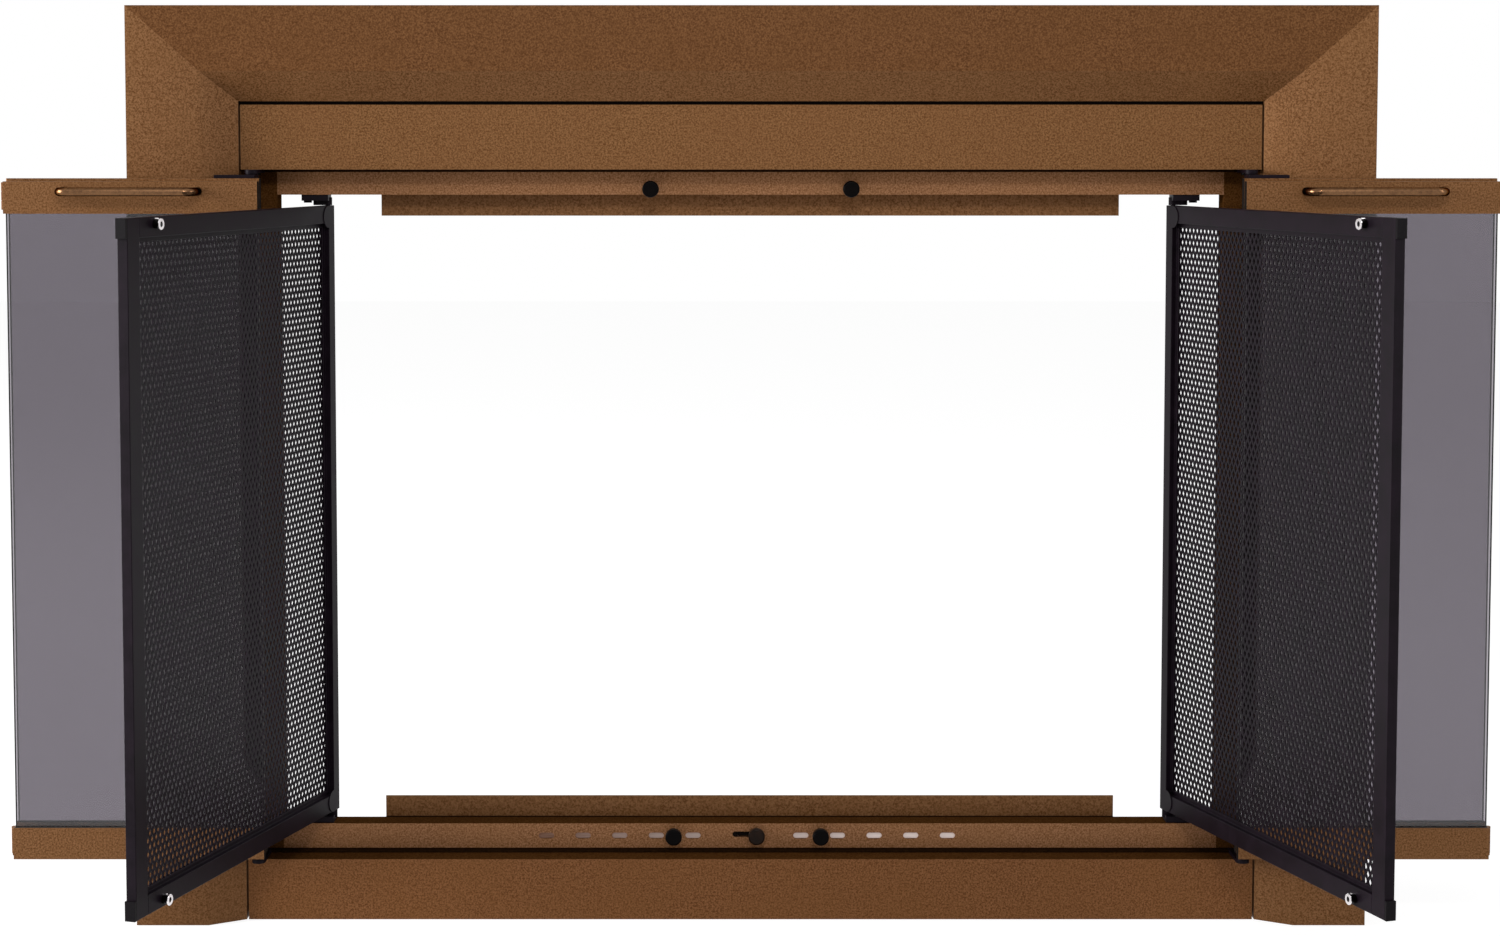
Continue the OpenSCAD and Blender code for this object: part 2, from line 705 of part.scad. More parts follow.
// jack screws behind the lintel panel press the frame against the top of the firebox opening
module lintel_clamps() {
    jack_low_z = head_rail_top_z - sheet_t - jack_below;
    jack_top_z = head_rail_top_z + jack_h;
    color(zinc) for (x = [-clamp_x, clamp_x]) {
        rod_z(x, jack_y, jack_r, jack_low_z, jack_top_z);
        rod_z(x, jack_y, jack_pad_r, jack_top_z, jack_top_z + jack_pad_h);
        for (z = [head_rail_top_z, head_rail_top_z - sheet_t - jack_nut_h]) translate([x, jack_y, z])
            difference() {
                cylinder(r = jack_d * 0.9, h = jack_nut_h, $fn = 6);
                translate([0, 0, -cut]) cylinder(r = jack_r, h = jack_nut_h + 2 * cut);
            }
    }
}

module floor_brackets() {
    back_y = floor_bracket_y + floor_bracket_d;
    color(zinc) both_sides() difference() {
        union() {
            box([jamb_x, floor_bracket_y, 0], [jamb_x + floor_foot_l, back_y, plate_t]);
            box([jamb_x, floor_bracket_y, 0], [jamb_x + plate_t, back_y, floor_bracket_h]);
        }
        rod_z(anchor_x, floor_mid_y, anchor_hole_d / 2, -cut, plate_t + cut);
        rod_x(floor_mid_y, floor_screw_z, screw_hole_r, jamb_x - cut, jamb_x + plate_t + cut);
    }
}

module frame_screws() {
    color(zinc) {
        for (x = stop_screw_xs) for (z = [head_rail_low_z + stop_screw_in, track_top_z - stop_screw_in])
            translate([x, rail_back_y + plate_t, z]) rotate([-90, 0, 0]) screw(plate_t + sheet_t);
        both_sides() {
            for (z = jamb_screw_zs) translate([flange_x - sheet_t, jamb_screw_y, z])
                rotate([0, -90, 0]) screw(2 * sheet_t);
            for (out = gusset_screws) {
                translate([-half_w + out, -sheet_t - plate_t, surround_h - gusset_mid])
                    rotate([90, 0, 0]) screw(sheet_t + plate_t);
                translate([-half_w + gusset_mid, -sheet_t - plate_t, surround_h - out])
                    rotate([90, 0, 0]) screw(sheet_t + plate_t);
            }
            translate([pivot_x, pivot_screw_y, lintel_low_z - strap_t]) rotate([180, 0, 0])
                screw(strap_t + sheet_t);
            translate([pivot_x, pivot_screw_y, bottom_panel_h + strap_t]) screw(strap_t + sheet_t);
            translate([mesh_screw_x, mesh_y, head_rail_low_z - mesh_block_h]) rotate([180, 0, 0])
                screw(mesh_block_h + sheet_t);
            translate([mesh_screw_x, mesh_y, track_top_z + mesh_block_h]) screw(mesh_block_h + sheet_t);
            translate([jamb_x + plate_t, floor_mid_y, floor_screw_z]) rotate([0, 90, 0])
                screw(plate_t + sheet_t);
        }
    }
}

// -- damper --

module damper_plate() {
    color(dark_bronze) difference() {
        box([vent_shift - damper_l / 2, damper_y, vent_z - damper_h / 2],
            [vent_shift + damper_l / 2, damper_y + damper_t, vent_z + damper_h / 2]);
        for (x = vent_xs)
            slot_y(x + damper_travel, vent_z, vent_l, vent_h, damper_y - cut, damper_y + damper_t + cut);
        rod_y(damper_knob_x, damper_knob_z, damper_stem_r, damper_y - cut, damper_y + damper_t + cut);
    }
}

module damper_knob() {
    front_y = rail_y - damper_knob_out;
    color(black) button(damper_knob_x, damper_knob_z, front_y, rail_y - damper_knob_out / 2,
        damper_y + damper_t, damper_stem_r);
}

// clips behind the track that carry the damper plate by its edges
module damper_guides() {
    color(zinc) for (x = guide_xs) for (up = [0, 1]) translate([x, 0, vent_z]) mirror([0, 0, up]) {
        edge_z = -damper_h / 2 - near;
        lap_y = damper_y + damper_t + near;
        box([-guide_l / 2, rail_y + sheet_t, edge_z - guide_root], [guide_l / 2, lap_y + sheet_t, edge_z]);
        box([-guide_l / 2, lap_y, edge_z - guide_root], [guide_l / 2, lap_y + sheet_t, edge_z + guide_lap]);
    }
}

// -- glass doors, drawn closed --

// a door rail whose channel opens towards the glass, with room cut for the fold hinge
module panel_rail(x, z, opens_up) {
    slot_z = opens_up ? z + panel_sheet : z - cut;
    slot_h = panel_rail_h - panel_sheet + cut;
    difference() {
        box([x, panel_y, z], [x + panel_w, door_back_y, z + panel_rail_h]);
        box([x + panel_sheet, panel_y + panel_sheet, slot_z],
            [x + panel_w - panel_sheet, door_back_y - panel_sheet, slot_z + slot_h]);
        rod_z(fold_x, fold_y, hinge_room_r, z - cut, z + panel_rail_h + cut);
    }
}

module panel_glass(x, z) {
    box([x + glass_inset, glass_y, z + glass_margin],
        [x + panel_w - glass_inset, glass_y + glass_t, z + panel_h - glass_margin]);
}

// the gaskets fill the rails' channels round the edge of the glass
module panel_gaskets(x, z) {
    fill_h = panel_rail_h - panel_sheet;
    difference() {
        for (low_z = [z + panel_sheet, z + panel_h - panel_rail_h])
            box([x + panel_sheet, panel_y + panel_sheet, low_z],
                [x + panel_w - panel_sheet, door_back_y - panel_sheet, low_z + fill_h]);
        box([x - cut, glass_y, z + glass_margin],
            [x + panel_w + cut, glass_y + glass_t, z + panel_h - glass_margin]);
    }
}

// straps on the pivot panel's rails reach forward to the pivot pins
module pivot_strap(z) {
    difference() {
        union() {
            rod_z(pivot_x, pivot_y, pivot_nose_r, z, z + strap_t);
            box([pivot_x - pivot_nose_r, pivot_y, z], [pivot_x + pivot_nose_r, panel_y + cut, z + strap_t]);
            box([pivot_x - pivot_nose_r, panel_y, z],
                [pivot_x - pivot_nose_r + strap_l, door_back_y, z + strap_t]);
        }
        rod_z(pivot_x, pivot_y, pivot_pin_r + pin_clearance, z - cut, z + strap_t + cut);
    }
}

// pivot panel's part of a fold hinge: a leaf with the two outer knuckles and the pin
module fold_hinge_outer(z) {
    leaf_x = fold_x - fold_gap / 2;
    knuckle_top_z = z + 2 * (knuckle_h + knuckle_gap);
    difference() {
        union() {
            box([leaf_x, panel_y + leaf_margin, z], [leaf_x + leaf_t, fold_y, z + fold_hinge_h]);
            rod_z(fold_x, fold_y, knuckle_r, z, z + knuckle_h);
            rod_z(fold_x, fold_y, knuckle_r, knuckle_top_z, knuckle_top_z + knuckle_h);
        }
        rod_z(fold_x, fold_y, hinge_room_r, z + knuckle_h, knuckle_top_z);
    }
    rod_z(fold_x, fold_y, fold_pin_r, z, z + fold_hinge_h);
}

// leading panel's part of a fold hinge: a leaf with the middle knuckle
module fold_hinge_inner(z) {
    leaf_x = fold_x + fold_gap / 2;
    knuckle_z = z + knuckle_h + knuckle_gap;
    difference() {
        union() {
            box([leaf_x - leaf_t, panel_y + leaf_margin, z], [leaf_x, fold_y, z + fold_hinge_h]);
            rod_z(fold_x, fold_y, knuckle_r, knuckle_z, knuckle_z + knuckle_h);
        }
        rod_z(fold_x, fold_y, hinge_room_r, z - cut, knuckle_z);
        rod_z(fold_x, fold_y, hinge_room_r, knuckle_z + knuckle_h, z + fold_hinge_h + cut);
        rod_z(fold_x, fold_y, fold_pin_r + pin_clearance, z - cut, z + fold_hinge_h + cut);
    }
}

module pivot_top_rail(side) {
    color(bronze) open_pivot_panel(side) panel_rail(pivot_panel_x, pivot_top_z - panel_rail_h, false);
}

module pivot_bottom_rail(side) {
    color(bronze) open_pivot_panel(side) panel_rail(pivot_panel_x, pivot_low_z, true);
}

module pivot_glass(side) {
    color(smoke) open_pivot_panel(side) panel_glass(pivot_panel_x, pivot_low_z);
}

module pivot_gaskets(side) {
    color(rubber_grey) open_pivot_panel(side) panel_gaskets(pivot_panel_x, pivot_low_z);
}

module pivot_straps(side) {
    color(black) open_pivot_panel(side) for (z = [pivot_low_z - strap_t, pivot_top_z]) pivot_strap(z);
}

module pivot_fold_hinges(side) {
    color(dark_bronze) open_pivot_panel(side) for (z = fold_hinge_zs) fold_hinge_outer(z);
}

// a cylinder at each end of the handle, for its screws and their holes
module handle_screw_rods(r, y0, y1) {
    for (end = [-1, 1]) rod_y(handle_mid_x + end * handle_arm, handle_z, r, y0, y1);
}

module lead_top_rail(side) {
    color(bronze) open_lead_panel(side) difference() {
        panel_rail(lead_panel_x, lead_low_z + panel_h - panel_rail_h, false);
        handle_screw_rods(handle_screw_r, panel_y - cut, handle_screw_y + cut);
    }
}

module lead_bottom_rail(side) {
    color(bronze) open_lead_panel(side) panel_rail(lead_panel_x, lead_low_z, true);
}

module lead_glass(side) {
    color(smoke) open_lead_panel(side) panel_glass(lead_panel_x, lead_low_z);
}

module lead_gaskets(side) {
    color(rubber_grey) open_lead_panel(side) difference() {
        panel_gaskets(lead_panel_x, lead_low_z);
        handle_screw_rods(handle_screw_head_d / 2 + near, handle_screw_y - cut, glass_y + cut);
    }
}

module lead_fold_hinges(side) {
    color(dark_bronze) open_lead_panel(side) for (z = fold_hinge_zs) fold_hinge_inner(z);
}

// a round rod bent to a U, screwed on from inside the rail
module lead_handle(side) {
    color(bronze) open_lead_panel(side) difference() {
        union() {
            rod_x(handle_axis_y, handle_z, handle_rod_r, handle_mid_x - handle_arm + handle_bend,
                handle_mid_x + handle_arm - handle_bend);
            translate([handle_mid_x, handle_axis_y + handle_bend, handle_z]) both_sides() {
                translate([handle_arm - handle_bend, 0, 0]) rotate([0, 0, -90])
                    rotate_extrude(angle = 90) translate([handle_bend, 0]) circle(handle_rod_r);
                rod_y(handle_arm, 0, handle_rod_r, 0, panel_y - handle_axis_y - handle_bend);
            }
        }
        handle_screw_rods(handle_screw_r, panel_y - handle_screw_in, panel_y + cut);
    }
}

module lead_handle_screws(side) {
    color(zinc) open_lead_panel(side) {
        handle_screw_rods(handle_screw_r, panel_y - handle_screw_in, handle_screw_y + panel_sheet / 2);
        handle_screw_rods(handle_screw_head_d / 2, handle_screw_y, handle_screw_y + handle_screw_head_h);
    }
}

// -- mesh doors, drawn closed --

// a stile's tube and the lip that backs the screen, seen from the tube's outer edge at x
module mesh_stile(x, w, lip_x) {
    difference() {
        box([x, mesh_front_y, mesh_low_z], [x + w, mesh_back_y, mesh_top_z]);
        box([x + mesh_tube_wall, mesh_front_y + mesh_tube_wall, mesh_low_z - cut],
            [x + w - mesh_tube_wall, mesh_back_y - mesh_tube_wall, mesh_top_z + cut]);
    }
    box([lip_x, lip_y, screen_z], [lip_x + mesh_lip_w, lip_y + mesh_lip_t, screen_z + screen_h]);
}

module mesh_rail(z, lip_z) {
    difference() {
        box([screen_x, mesh_front_y, z], [screen_x + screen_w, mesh_back_y, z + mesh_rail_h]);
        box([screen_x - cut, mesh_front_y + mesh_tube_wall, z + mesh_tube_wall],
            [screen_x + screen_w + cut, mesh_back_y - mesh_tube_wall, z + mesh_rail_h - mesh_tube_wall]);
    }
    box([screen_x + mesh_lip_w, lip_y, lip_z],
        [screen_x + screen_w - mesh_lip_w, lip_y + mesh_lip_t, lip_z + mesh_lip_w]);
}

module mesh_top_rail(side) {
    color(black) open_mesh_door(side) mesh_rail(screen_z + screen_h, screen_z + screen_h - mesh_lip_w);
}

module mesh_bottom_rail(side) {
    color(black) open_mesh_door(side) mesh_rail(mesh_low_z, screen_z);
}

module mesh_hinge_stile(side) {
    color(black) open_mesh_door(side) mesh_stile(mesh_hinge_x, hinge_stile_w, screen_x);
}

module mesh_free_stile(side) {
    color(black) open_mesh_door(side)
        mesh_stile(screen_x + screen_w, free_stile_w, screen_x + screen_w - mesh_lip_w);
}

// a flat net of upright diamonds in a border of its own
module mesh_screen(side) {
    half_x = screen_w / net_columns / 2;
    half_z = screen_h / net_rows / 2;
    shrink = 1 - net_strand / 2 / (half_x * half_z / norm([half_x, half_z]));
    color(black) open_mesh_door(side) translate([screen_x, lip_y, screen_z])
        rotate([90, 0, 0]) linear_extrude(screen_t) difference() {
            square([screen_w, screen_h]);
            intersection() {
                translate([net_strand, net_strand])
                    square([screen_w - 2 * net_strand, screen_h - 2 * net_strand]);
                union() for (i = [0 : 2 * net_columns]) for (j = [0 : 2 * net_rows]) if ((i + j) % 2 == 0)
                    translate([i * half_x, j * half_z]) scale(shrink)
                        polygon([[-half_x, 0], [0, -half_z], [half_x, 0], [0, half_z]]);
            }
        }
}

// plugs in the ends of a stile
module stile_plugs(x, w) {
    for (z = [mesh_low_z, mesh_top_z - mesh_plug_l])
        box([x + mesh_tube_wall, mesh_front_y + mesh_tube_wall, z],
            [x + w - mesh_tube_wall, mesh_back_y - mesh_tube_wall, z + mesh_plug_l]);
}

// caps over the corners of the free edge, as high as the rails
module corner_caps() {
    for (z = [mesh_low_z, mesh_top_z - mesh_rail_h])
        box([mesh_stile_edge_x, mesh_front_y, z], [mesh_free_x, mesh_back_y, z + mesh_rail_h]);
}

// the plugs at the hinge edge turn on the pivot pins
module mesh_plugs(side) {
    bore_r = mesh_pin_r + pin_clearance;
    bore_l = mesh_pin_l + mesh_pin_room;
    color(black) open_mesh_door(side) {
        difference() {
            stile_plugs(mesh_hinge_x, hinge_stile_w);
            rod_z(mesh_pivot_x, mesh_y, bore_r, mesh_low_z - cut, mesh_low_z + bore_l);
            rod_z(mesh_pivot_x, mesh_y, bore_r, mesh_top_z - bore_l, mesh_top_z + cut);
        }
        stile_plugs(screen_x + screen_w, free_stile_w);
        corner_caps();
    }
}

// a post with a ring magnet at its tip, near each end of the free edge
module mesh_catches(side) {
    magnet_y = mesh_catch_tip_y - mesh_magnet_t;
    color(nickel) open_mesh_door(side) for (z = [mesh_low_z + mesh_catch_in, mesh_top_z - mesh_catch_in])
        difference() {
            rod_y(mesh_catch_x, z, mesh_catch_r, mesh_back_y, mesh_catch_tip_y);
            rod_y(mesh_catch_x, z, magnet_hole_r, magnet_y, mesh_catch_tip_y + cut);
        }
}

header_trim();
column_trim("left");  // column_trim_left
column_trim("right");  // column_trim_right
lintel_panel();
bottom_panel();
head_rail();
vent_track();
jamb("left");  // jamb_left
jamb("right");  // jamb_right
stop_plates();
corner_gussets();
door_catches();
glass_pivot_brackets();
mesh_pivot_brackets();
lintel_clamps();
floor_brackets();
damper_guides();
frame_screws();
damper_plate();
damper_knob();
pivot_top_rail("left");  // pivot_top_rail_left
pivot_bottom_rail("left");  // pivot_bottom_rail_left
pivot_glass("left");  // pivot_glass_left
pivot_gaskets("left");  // pivot_gaskets_left
pivot_straps("left");  // pivot_straps_left
pivot_fold_hinges("left");  // pivot_fold_hinges_left
lead_top_rail("left");  // lead_top_rail_left
lead_bottom_rail("left");  // lead_bottom_rail_left
lead_glass("left");  // lead_glass_left
lead_gaskets("left");  // lead_gaskets_left
lead_fold_hinges("left");  // lead_fold_hinges_left
lead_handle("left");  // lead_handle_left
lead_handle_screws("left");  // lead_handle_screws_left
mesh_top_rail("left");  // mesh_top_rail_left
mesh_bottom_rail("left");  // mesh_bottom_rail_left
mesh_hinge_stile("left");  // mesh_hinge_stile_left
mesh_free_stile("left");  // mesh_free_stile_left
mesh_screen("left");  // mesh_screen_left
mesh_plugs("left");  // mesh_plugs_left
mesh_catches("left");  // mesh_catches_left
pivot_top_rail("right");  // pivot_top_rail_right
pivot_bottom_rail("right");  // pivot_bottom_rail_right
pivot_glass("right");  // pivot_glass_right
pivot_gaskets("right");  // pivot_gaskets_right
pivot_straps("right");  // pivot_straps_right
pivot_fold_hinges("right");  // pivot_fold_hinges_right
lead_top_rail("right");  // lead_top_rail_right
lead_bottom_rail("right");  // lead_bottom_rail_right
lead_glass("right");  // lead_glass_right
lead_gaskets("right");  // lead_gaskets_right
lead_fold_hinges("right");  // lead_fold_hinges_right
lead_handle("right");  // lead_handle_right
lead_handle_screws("right");  // lead_handle_screws_right
mesh_top_rail("right");  // mesh_top_rail_right
mesh_bottom_rail("right");  // mesh_bottom_rail_right
mesh_hinge_stile("right");  // mesh_hinge_stile_right
mesh_free_stile("right");  // mesh_free_stile_right
mesh_screen("right");  // mesh_screen_right
mesh_plugs("right");  // mesh_plugs_right
mesh_catches("right");  // mesh_catches_right
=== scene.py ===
import json
import math
import bmesh
import bpy
from mathutils import Matrix, Vector

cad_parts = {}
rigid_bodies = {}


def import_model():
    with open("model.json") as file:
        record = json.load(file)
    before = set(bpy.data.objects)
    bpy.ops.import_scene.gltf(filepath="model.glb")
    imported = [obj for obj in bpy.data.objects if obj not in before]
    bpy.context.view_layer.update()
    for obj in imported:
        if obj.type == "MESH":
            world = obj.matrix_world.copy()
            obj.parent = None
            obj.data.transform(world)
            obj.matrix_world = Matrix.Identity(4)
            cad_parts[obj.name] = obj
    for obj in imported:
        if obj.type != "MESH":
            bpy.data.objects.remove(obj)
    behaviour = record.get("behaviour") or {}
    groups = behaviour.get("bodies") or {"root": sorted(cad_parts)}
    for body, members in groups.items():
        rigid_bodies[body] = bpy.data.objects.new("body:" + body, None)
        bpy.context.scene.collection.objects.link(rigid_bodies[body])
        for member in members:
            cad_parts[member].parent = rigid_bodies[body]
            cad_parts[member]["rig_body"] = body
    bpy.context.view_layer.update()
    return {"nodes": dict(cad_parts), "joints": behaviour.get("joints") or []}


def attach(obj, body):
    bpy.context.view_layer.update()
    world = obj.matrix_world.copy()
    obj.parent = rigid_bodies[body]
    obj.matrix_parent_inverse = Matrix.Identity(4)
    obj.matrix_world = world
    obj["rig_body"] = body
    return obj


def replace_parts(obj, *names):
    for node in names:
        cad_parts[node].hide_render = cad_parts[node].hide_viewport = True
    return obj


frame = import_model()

nodes = frame["nodes"]
joints = {joint["name"]: joint for joint in frame["joints"]}
mm = 0.001
bothSides = ("left", "right")
sharpAngle = math.radians(32)        # edges that turn by more than this are broken and shaded as edges


def linear(hexCode):
    # sRGB hex to the linear values that the shaders read
    channels = [int(hexCode[i:i + 2], 16) / 255 for i in (1, 3, 5)]
    return [c / 12.92 if c <= 0.04045 else ((c + 0.055) / 1.055) ** 2.4 for c in channels] + [1]


def addNode(tree, kind, settings=(), values=(), links=()):
    # settings go on the node, values on its sockets, links come from other nodes' outputs
    node = tree.nodes.new(kind)
    for name, value in dict(settings).items():
        setattr(node, name, value)
    for name, value in dict(values).items():
        node.inputs[name].default_value = value
    for name, source in dict(links).items():
        tree.links.new(source, node.inputs[name])
    return node


def newMaterial(name):
    material = bpy.data.materials.new(name)
    material.use_nodes = True
    material.node_tree.nodes.clear()
    return material, material.node_tree


# Steel sheet with a textured bronze powder coat: sprayed, then baked, so it is satin, evenly pebbled
# and slightly cloudy. Its real grain is about 0.5 mm, drawn at 1.6 mm so that it shows at this distance.
# Darker copies of the coat on the header's front, the lintel and the bottom panel are painted shade, and a
# lighter copy on the head rail and vent track is painted light. The coat is darker and without shine on
# ledges and jambs, which is painted shade, and darkest on the gap seals, which is painted shadow. Sizes are
# in millimetres, and levels are where the noise reaches each tone.
powderCoat = {
    "grain": 1.6, "grainLevels": (0.34, 0.66), "pebble": 0.9, "relief": 0.15, "roughness": (0.38, 0.6),
    "cloud": 45, "cloudLevels": (0.35, 0.65), "cloudShare": 0.25,
    # the grain's dark and light, the clouds, then how metallic and how glossy the coat is
    "tones": {"texturedBronzePowderCoat": ("#553211", "#87603e", "#734d2a", 0.3, 0.15),
              "texturedBronzePowderCoatHeaderPaintedShade": ("#472607", "#724c2b", "#5b3918", 0.3, 0.15),
              "texturedBronzePowderCoatLintelPaintedShade": ("#53300e", "#835d39", "#6d4727", 0.3, 0.15),
              "texturedBronzePowderCoatFootPaintedShade": ("#55300f", "#875b38", "#724a24", 0.3, 0.15),
              "texturedBronzePowderCoatRailPaintedLight": ("#68401a", "#a37655", "#8b603a", 0.3, 0.15),
              "texturedBronzePowderCoatLedgePaintedShade": ("#3d230c", "#613f1f", "#4d2f14", 0, 0),
              "texturedBronzePowderCoatGapPaintedShadow": ("#1b0f07", "#2c1b0e", "#20140a", 0, 0)},
}


def makePowderCoat(name, coat):
    dark, light, cloud, metallic, gloss = coat["tones"][name]
    material, tree = newMaterial(name)
    place = addNode(tree, "ShaderNodeTexCoord").outputs["Object"]
    grain = addNode(tree, "ShaderNodeTexNoise", links={"Vector": place},
                    values={"Scale": 1 / (coat["grain"] * mm), "Detail": 2, "Roughness": 0.7})
    clouds = addNode(tree, "ShaderNodeTexNoise", links={"Vector": place},
                     values={"Scale": 1 / (coat["cloud"] * mm), "Detail": 3})
    grained = addNode(tree, "ShaderNodeValToRGB", links={"Fac": grain.outputs["Fac"]})
    for stop, level, tone in zip(grained.color_ramp.elements, coat["grainLevels"], (dark, light)):
        stop.position = level
        stop.color = linear(tone)
    cloudPart = addNode(tree, "ShaderNodeMapRange", links={"Value": clouds.outputs["Fac"]},
                        values={"From Min": coat["cloudLevels"][0], "From Max": coat["cloudLevels"][1],
                                "To Max": coat["cloudShare"]})
    colour = addNode(tree, "ShaderNodeMix", {"data_type": "RGBA"}, {"B": linear(cloud)},
                     {"Factor": cloudPart.outputs["Result"], "A": grained.outputs["Color"]})
    pebble = addNode(tree, "ShaderNodeTexNoise", links={"Vector": place},
                     values={"Scale": 1 / (coat["pebble"] * mm), "Detail": 1})
    bump = addNode(tree, "ShaderNodeBump", links={"Height": pebble.outputs["Fac"]},
                   values={"Strength": 0.35, "Distance": coat["relief"] * mm})
    rough = addNode(tree, "ShaderNodeMapRange", links={"Value": grain.outputs["Fac"]},
                    values={"To Min": coat["roughness"][0], "To Max": coat["roughness"][1]})
    shader = addNode(tree, "ShaderNodeBsdfPrincipled",
                     values={"Metallic": metallic, "Specular IOR Level": gloss},
                     links={"Base Color": colour.outputs["Result"], "Roughness": rough.outputs["Result"],
                            "Normal": bump.outputs["Normal"]})
    addNode(tree, "ShaderNodeOutputMaterial", links={"Surface": shader.outputs["BSDF"]})
    return material


# Black finishes, with a faint orange peel and a little dust that greys them: satin paint on the mesh doors,
# brackets and straps, harder and glossier enamel on catches, screw heads and the glass's ground edges, and a
# brownish one on the damper's knob.
blackPaints = {
    "satinBlackPaint": {"tones": ("#0c060c", "#180f18"), "dustLevels": (0.35, 0.75), "dust": 18, "peel": 1.6,
                        "relief": 0.1, "roughness": (0.37, 0.57), "gloss": 0.08},
    "glossBlackEnamel": {"tones": ("#020101", "#080404"), "dustLevels": (0.35, 0.75), "dust": 6, "peel": 2.4,
                         "relief": 0.1, "roughness": (0.22, 0.42), "gloss": 0.04},
    "brownBlackEnamel": {"tones": ("#120a06", "#25170f"), "dustLevels": (0.35, 0.75), "dust": 6, "peel": 2.4,
                         "relief": 0.1, "roughness": (0.22, 0.42), "gloss": 0.08},
}


def makeBlackPaint(name, paint):
    material, tree = newMaterial(name)
    place = addNode(tree, "ShaderNodeTexCoord").outputs["Object"]
    dust = addNode(tree, "ShaderNodeTexNoise", links={"Vector": place},
                   values={"Scale": 1 / (paint["dust"] * mm), "Detail": 4, "Roughness": 0.65})
    colour = addNode(tree, "ShaderNodeValToRGB", links={"Fac": dust.outputs["Fac"]})
    for stop, level, tone in zip(colour.color_ramp.elements, paint["dustLevels"], paint["tones"]):
        stop.position = level
        stop.color = linear(tone)
    peel = addNode(tree, "ShaderNodeTexNoise", links={"Vector": place},
                   values={"Scale": 1 / (paint["peel"] * mm), "Detail": 1})
    bump = addNode(tree, "ShaderNodeBump", links={"Height": peel.outputs["Fac"]},
                   values={"Strength": 0.2, "Distance": paint["relief"] * mm})
    rough = addNode(tree, "ShaderNodeMapRange", links={"Value": dust.outputs["Fac"]},
                    values={"To Min": paint["roughness"][0], "To Max": paint["roughness"][1]})
    shader = addNode(tree, "ShaderNodeBsdfPrincipled", values={"Specular IOR Level": paint["gloss"]},
                     links={"Base Color": colour.outputs["Color"], "Roughness": rough.outputs["Result"],
                            "Normal": bump.outputs["Normal"]})
    addNode(tree, "ShaderNodeOutputMaterial", links={"Surface": shader.outputs["BSDF"]})
    return material


# Metals. The catches' magnets have bright nickel plate, and the hidden brackets and guides dull zinc plate.
# The handles are drawn and bent brass, antiqued to the frame's bronze: darker where it was not rubbed and
# dark at its edges, with bends that catch bright lights.
metals = {
    "brightNickelPlate": {"tones": ("#d6d2d3", "#fbf6f8"), "levels": (0.3, 0.7), "edge": "#ffffff",
                          "marks": 2.5, "detail": 3, "breakUp": 0.5, "roughness": (0.09, 0.28),
                          "strength": 0.3, "relief": 0.02},
    "zincPlatedSteel": {"tones": ("#979692", "#b2b1ad"), "levels": (0.3, 0.7), "edge": "#ffffff",
                        "marks": 3, "detail": 3, "breakUp": 0.5, "roughness": (0.31, 0.5),
                        "strength": 0.3, "relief": 0.03},
    "antiquedBrass": {"tones": ("#553b29", "#75563c"), "levels": (0.3, 0.6), "edge": "#443020",
                      "marks": 3, "detail": 5, "breakUp": 0.7, "roughness": (0.12, 0.3),
                      "strength": 0.15, "relief": 0.05},
}


def makeMetal(name, metal):
    material, tree = newMaterial(name)
    place = addNode(tree, "ShaderNodeTexCoord").outputs["Object"]
    marks = addNode(tree, "ShaderNodeTexNoise", links={"Vector": place},
                    values={"Scale": 1 / (metal["marks"] * mm), "Detail": metal["detail"],
                            "Roughness": metal["breakUp"]})
    colour = addNode(tree, "ShaderNodeValToRGB", links={"Fac": marks.outputs["Fac"]})
    for stop, level, tone in zip(colour.color_ramp.elements, metal["levels"], metal["tones"]):
        stop.position = level
        stop.color = linear(tone)
    rough = addNode(tree, "ShaderNodeMapRange", links={"Value": marks.outputs["Fac"]},
                    values={"To Min": metal["roughness"][0], "To Max": metal["roughness"][1]})
    bump = addNode(tree, "ShaderNodeBump", links={"Height": marks.outputs["Fac"]},
                   values={"Strength": metal["strength"], "Distance": metal["relief"] * mm})
    shader = addNode(tree, "ShaderNodeBsdfPrincipled",
                     values={"Metallic": 1, "Specular Tint": linear(metal["edge"])},
                     links={"Base Color": colour.outputs["Color"], "Roughness": rough.outputs["Result"],
                            "Normal": bump.outputs["Normal"]})
    addNode(tree, "ShaderNodeOutputMaterial", links={"Surface": shader.outputs["BSDF"]})
    return material


# Tempered float glass, tinted smoke grey in the melt: clear and hardly wavy, with a thin film that takes most
# of its shine and blurs it by no more than this.
smokedGlass = {"tint": "#a29da4", "wave": 120, "relief": 0.1, "blur": 0.001, "shine": 0.12}


def makeSmokedGlass(name, glass):
    material, tree = newMaterial(name)
    place = addNode(tree, "ShaderNodeTexCoord").outputs["Object"]
    wave = addNode(tree, "ShaderNodeTexNoise", links={"Vector": place},
                   values={"Scale": 1 / (glass["wave"] * mm), "Detail": 1})
    bump = addNode(tree, "ShaderNodeBump", links={"Height": wave.outputs["Fac"]},
                   values={"Strength": 0.01, "Distance": glass["relief"] * mm})
    blur = addNode(tree, "ShaderNodeMapRange", values={"To Max": glass["blur"]},
                   links={"Value": wave.outputs["Fac"]})
    shader = addNode(tree, "ShaderNodeBsdfPrincipled",
                     values={"Base Color": linear(glass["tint"]), "Transmission Weight": 1, "IOR": 1.52,
                             "Specular IOR Level": glass["shine"]},
                     links={"Roughness": blur.outputs["Result"], "Normal": bump.outputs["Normal"]})
    addNode(tree, "ShaderNodeOutputMaterial", links={"Surface": shader.outputs["BSDF"]})
    return material


# Damper plate: satin cold-rolled steel with fine lines along it. Its colour goes from brown at its left to
# bright at its right, from one x to the other, which is a painted reflection of light from the right.
damperSteel = {"tones": ("#6d452c", "#f4e2db"), "from": -205, "to": 130, "lines": 0.8, "stretch": 18,
               "streaks": 0.12, "relief": 0.03, "roughness": (0.34, 0.52)}


